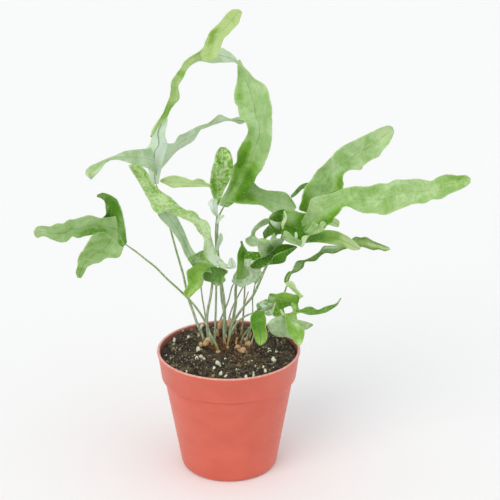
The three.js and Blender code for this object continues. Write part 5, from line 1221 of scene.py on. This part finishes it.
def scattered(bm, count, subdivisions, placeOf):
    # rough lumps
    template = bmesh.new()
    bmesh.ops.create_icosphere(template, subdivisions=subdivisions, radius=1)

    def settle(number):
        place, turn, size, tint = placeOf(number)

        def move(co):
            rough = 1 + 0.35 * noise.noise(co * 1.3 + Vector((number * 3.7, 0, 0)))
            return place + turn @ Vector(co[k] * size[k] for k in range(3)) * rough

        return move, tint

    addCopies(bm, template, count, settle)


def anywhere(draw, outer):
    turn = draw.uniform(0, 2 * math.pi)
    away = outer * math.sqrt(draw.uniform(0, 1))
    return away * math.cos(turn), away * math.sin(turn)


def anyTurn(draw):
    return Euler([draw.uniform(0, 2 * math.pi) for _ in range(3)]).to_matrix()


def addBits(bm, kind, seed):
    count, subdivisions, sizes, flat, tints = looseBits[kind]
    draw = random.Random(seed)

    def placeOf(number):
        x, y = anywhere(draw, looseReach)
        size = between(*sizes, draw.random() ** 2) * (1 - 0.8 * plugAt(x, y))
        shape = (size * draw.uniform(0.8, 1.4), size, size * draw.uniform(0.6, 1) * flat)
        return Vector((x, y, soilRise(x, y) + size * 0.3)), anyTurn(draw), shape, draw.uniform(*tints)

    scattered(bm, count, subdivisions, placeOf)


def addPerliteLumps(bm, seed):
    draw = random.Random(seed)

    def placeOf(number):
        x, y, size, tint = perliteLumps[number]
        shape = (size * draw.uniform(0.6, 0.75), size * draw.uniform(0.35, 0.5), size * 0.4)
        return Vector((x, y, soilRise(x, y) + size * 0.2)), anyTurn(draw), shape, tint

    scattered(bm, len(perliteLumps), 3, placeOf)


def makeSoil():
    bm = newMesh()
    form = soilForm
    height, rings = form["height"], form["rings"]
    edge = wallRadius(height)
    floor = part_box("soil")[0][2] / mm
    profile = [(0, floor), (form["floorRadius"], floor), *form["side"], (edge, height - form["edgeDrop"])]
    profile += [(edge * (1 - i / rings), height) for i in range(rings + 1)]
    turned(bm, profile, form["steps"])
    tone = bm.verts.layers.float["tone"]
    for vert in bm.verts:
        if vert.co.z > (height - 0.5) * mm:
            x, y = vert.co.x / mm, vert.co.y / mm
            vert.co.z = soilRise(x, y) * mm
            cloud = noise.noise((x / form["tintLength"], y / form["tintLength"], 1))
            vert[tone] = form["cloud"] * cloud + form["plugTint"] * plugAt(x, y)
    addBits(bm, "crumbs", 11)
    finishPiece("pottingMix", bm, ("peat",), ["soil"])

    bm = newMesh()
    addBits(bm, "grains", 12)
    addBits(bm, "perlite", 13)
    addPerliteLumps(bm, 14)
    finishPiece("perliteGrains", bm, ("perlite",), [])

    bm = newMesh()
    addBits(bm, "chips", 15)
    finishPiece("barkChips", bm, ("chip",), [])


makeSoil()
print("soil made")


# Rhizomes: knobbly creeping stems with chaffy scales, fine roots and swollen feet of stipes
rhizomes = {
    "rhizome_left": [(-27, 8, 101), (-21, 11, 103.5), (-14, 5, 104), (-6, 0, 103.5), (0, 2, 102)],
    "rhizome_middle": [(-11, 15, 103), (-5, 11, 105), (2, 14, 105.5), (8, 20, 104.5), (15, 23, 102)],
    "rhizome_right": [(6, 8, 102), (12, 6, 103.5), (18, 6, 103), (23, 9, 101)],
    "rhizome_back": [(-16, 21, 102), (-9, 24, 104), (-1, 28, 104), (8, 30, 102)],
}
sprouts = [
    [(10, 7, 103), (10.5, 5, 109), (13, 3, 116), (18, 1, 124)],
    [(14, 6, 103), (14.5, 4, 110), (16, 3, 117), (16.5, 2, 123)],
    [(19, 6, 103), (19.5, 6, 109), (21, 6, 115), (20, 5, 120)],
]
rhizomeForm = {
    "radius": (4.5, 3.6), "sides": 22, "steps": 44, "bump": 0.22, "bumpLength": 3.5, "scales": 120,
    "scaleLength": (1.5, 4.6), "scaleWidth": 0.45, "scaleFlatness": 0.35, "scaleSpread": 0.7,
}
sproutForm = {"radius": (0.9, 0.4), "sides": 8, "steps": 12, "start": 8}


def spikes(bm, count, placeOf, material):
    # slender closed scales with four sides, each laid along its own direction
    template = bmesh.new()
    bmesh.ops.create_cone(template, cap_ends=True, segments=4, radius1=1, radius2=0.05, depth=1)
    bmesh.ops.translate(template, verts=template.verts, vec=(0, 0, 0.5))

    def settle(number):
        place, direction, length, width, tint = placeOf(number)
        turn = direction.to_track_quat("Z", "Y")
        size = (width, width * rhizomeForm["scaleFlatness"], length)
        return lambda co: place + turn @ Vector(co[k] * size[k] for k in range(3)), tint

    addCopies(bm, template, count, settle, material)


def makeRhizome(name, points, seed):
    draw = random.Random(seed)
    form = rhizomeForm
    line = smoothLine([Vector(point) * mm for point in points])
    bm = newMesh()

    def radiusAt(share, turn):
        blunt = math.sin(math.pi * min(max(share, 0.05), 0.95)) ** 0.35
        along = share * line.length / mm / form["bumpLength"]
        bump = noise.noise((along, 1.4 * math.cos(turn), seed + math.sin(turn)))
        return between(*form["radius"], share) * blunt * (1 + form["bump"] * bump)

    bar(bm, line, radiusAt, form["sides"], form["steps"], 0, 0.1)

    def scaleOf(number):
        share = draw.uniform(0.02, 0.98)
        turn = draw.uniform(-0.6, math.pi + 0.6)
        ahead = (line(min(share + 0.02, 1)) - line(max(share - 0.02, 0))).normalized()
        side = ahead.cross(Vector((0, 0, 1))).normalized()
        out = side * math.cos(turn) + side.cross(ahead) * math.sin(turn)
        place = line(share) / mm + out * radiusAt(share, turn) * 0.9
        lean = ahead * draw.uniform(-1.2, 1.2) + side * draw.uniform(-0.4, 0.4)
        direction = (out * form["scaleSpread"] + lean + Vector((0, 0, 0.4))).normalized()
        length = draw.uniform(*form["scaleLength"])
        return place, direction, length, form["scaleWidth"], draw.uniform(-0.6, 0.6)

    spikes(bm, form["scales"], scaleOf, 1)
    if name == "rhizome_right":
        for sprout in sprouts:
            bar(bm, smoothLine([Vector(point) * mm for point in sprout]),
                lambda share, turn: between(*sproutForm["radius"], share), sproutForm["sides"],
                sproutForm["steps"], 2, start=sproutForm["start"])
    finishPiece(name.replace("rhizome", "creeping"), bm, ("bark", "scales", "stipe"), [name])


for i, (name, points) in enumerate(rhizomes.items()):
    makeRhizome(name, points, 30 + i)


# Swollen tan buds and stubs of old stipes on the rhizomes: place, half sizes and tint
knobs = [
    ((-15.7, 8, 107.8), (4.6, 4, 3.6), 0.25),
    ((-19.1, 4, 107.7), (3, 2.6, 2.6), -0.1),
    ((-7.4, 24, 115.3), (2.5, 2.5, 5.4), 0),
    ((0.5, 28, 115.5), (2.7, 2.7, 4.4), 0.35),
    ((3.9, 24, 112.4), (2.2, 2.2, 3.4), -0.25),
    ((16.1, 5, 106.3), (3.2, 2.8, 2.6), 0.05),
    ((11.4, -4, 104.8), (3.6, 2.8, 2.2), -0.45),
    ((-2.7, 12, 106.9), (1.5, 1.5, 6), 0.5),
    ((14.0, 12, 106.5), (1.8, 1.8, 3.4), 0.3),
    ((-11.4, 6, 105.0), (2.2, 2, 2.4), -0.3),
    ((7.6, 2, 104.9), (3, 2.4, 2), -0.5),
    ((-10.4, 20, 110.0), (1.8, 1.8, 4), -0.2),
    ((-23.3, 6, 105.4), (2, 1.8, 2.2), 0.1),
]
clumpForm = {
    "footSize": (1.7, 1.7, 2.2), "footDepth": 1.6,
    "stubs": 14, "stubRadius": (0.5, 1.1), "stubHeight": (3, 10),
    "fibres": 90, "fibreArch": (0.7, 4), "strands": 70, "strandArch": (0.7, 1.1),
    "fibreRadius": (0.12, 0.3), "fibreReach": 6,
}


# The feet that the stipes rise from, the buds, the stubs of old stipes, and the fibres round them
def makeFeet():
    form = clumpForm
    draw = random.Random(50)
    bm = newMesh()
    down = Vector((0, 0, form["footDepth"]))
    feet = [seen(*frond["stipe"]["line"][0]) / mm - down for frond in fronds.values()]
    scattered(bm, len(feet), 2,
              lambda i: (feet[i], anyTurn(draw), form["footSize"], draw.uniform(-0.5, 0.2)))
    scattered(bm, len(knobs), 3,
              lambda i: (Vector(knobs[i][0]), Euler((0.2, -0.15, i)).to_matrix(), *knobs[i][1:]))
    for _ in range(form["stubs"]):
        foot = Vector((draw.uniform(-20, 18), draw.uniform(2, 28), 103))
        lean = Vector((draw.uniform(-3, 3), draw.uniform(-3, 3), draw.uniform(*form["stubHeight"])))
        top = foot + lean
        thick = draw.uniform(*form["stubRadius"])
        bar(bm, smoothLine([foot * mm, (foot + top) / 2 * mm, top * mm]),
            lambda share, turn: between(thick, thick * 0.7, share), 7, 5, 0, draw.uniform(-0.4, 0.5))
    for i in range(form["fibres"] + form["strands"]):
        arch = form["fibreArch"] if i < form["fibres"] else form["strandArch"]
        if i < form["fibres"]:
            x, y = draw.gauss(0, 11), draw.gauss(10, 8)
        elif i % 2:
            x, y = draw.gauss(11, 6), draw.gauss(-14, 8)
        else:
            x, y = anywhere(draw, 50)
        low = Vector((x, y, soilRise(x, y) + 0.5))
        reach = form["fibreReach"]
        along = Vector((draw.uniform(-reach, reach), draw.uniform(-reach, reach), 0))
        high = low + along * 0.5 + Vector((0, 0, draw.uniform(*arch)))
        end = low + along
        end.z = soilRise(end.x, end.y) + 0.3
        thick = draw.uniform(*form["fibreRadius"])
        bar(bm, smoothLine([low * mm, high * mm, end * mm]), lambda share, turn: thick, 4, 6, 1,
            draw.uniform(-0.5, 0.5))
    finishPiece("stipeFeet", bm, ("bud", "fibre"), [])


makeFeet()
print("rhizomes made")


# Stage: a pale floor, soft light from above and a camera at the photograph's place
cameraForm = {"lens": 94.6, "sensor": 36, "pitch": 20.4}
lightForm = {  # a place in metres that it shines from, its angle in degrees, strength and colour
    "key": ((-0.9, -1.3, 1.5), 40, 1.0, "#fffaf3"),
    "fill": ((1.3, -0.7, 0.9), 60, 0.3, "#f4f8ff"),
}
stageForm = {
    "floorSize": 8, "fleck": 0.4, "floor": ("#f8f8f7", "#fbfbfa"), "sky": "#f6f8fb", "skyStrength": 0.83,
    "aim": (0.02, 0, 0.2),  # metres
}


def makeStage():
    form = stageForm
    material, tree = newMaterial("matt white paper")
    place = addNode(tree, "TexCoord").outputs["Object"]
    fleck = addNode(tree, "TexNoise", {"Vector": place, "Scale": 1 / form["fleck"], "Detail": 2})
    dull, bright = form["floor"]
    color = addNode(tree, "Mix", {0: fleck.outputs[0], 6: dull, 7: bright}, data_type="RGBA")
    finishMaterial(tree, {"Base Color": color.outputs[2], "Roughness": 0.9})
    bm = bmesh.new()
    bmesh.ops.create_grid(bm, x_segments=2, y_segments=2, size=form["floorSize"])
    mesh = bpy.data.meshes.new("floor")
    bm.to_mesh(mesh)
    bm.free()
    mesh.materials.append(material)
    floor = bpy.data.objects.new("floor", mesh)
    bpy.context.scene.collection.objects.link(floor)

    middle = Vector(form["aim"])
    for name, (spot, angle, strength, color) in lightForm.items():
        lamp = bpy.data.lights.new(name, "SUN")
        lamp.angle = math.radians(angle)
        lamp.energy = strength
        lamp.color = linear(color)[:3]
        light = bpy.data.objects.new(name, lamp)
        light.location = spot
        light.rotation_euler = (middle - Vector(spot)).to_track_quat("-Z", "Y").to_euler()
        bpy.context.scene.collection.objects.link(light)
    world = bpy.data.worlds.new("studio")
    world.use_nodes = True
    background = world.node_tree.nodes["Background"]
    background.inputs["Color"].default_value = linear(form["sky"])
    background.inputs["Strength"].default_value = form["skyStrength"]
    bpy.context.scene.world = world
    bpy.context.scene.view_settings.view_transform = "Standard"

    data = bpy.data.cameras.new("camera")
    data.lens = cameraForm["lens"]
    data.sensor_width = cameraForm["sensor"]
    camera = bpy.data.objects.new("camera", data)
    camera.location = eye * mm
    camera.rotation_euler = (math.radians(90 - cameraForm["pitch"]), 0, 0)
    bpy.context.scene.collection.objects.link(camera)
    bpy.context.scene.camera = camera


makeStage()
print("stage made")

bpy.context.view_layer.update()
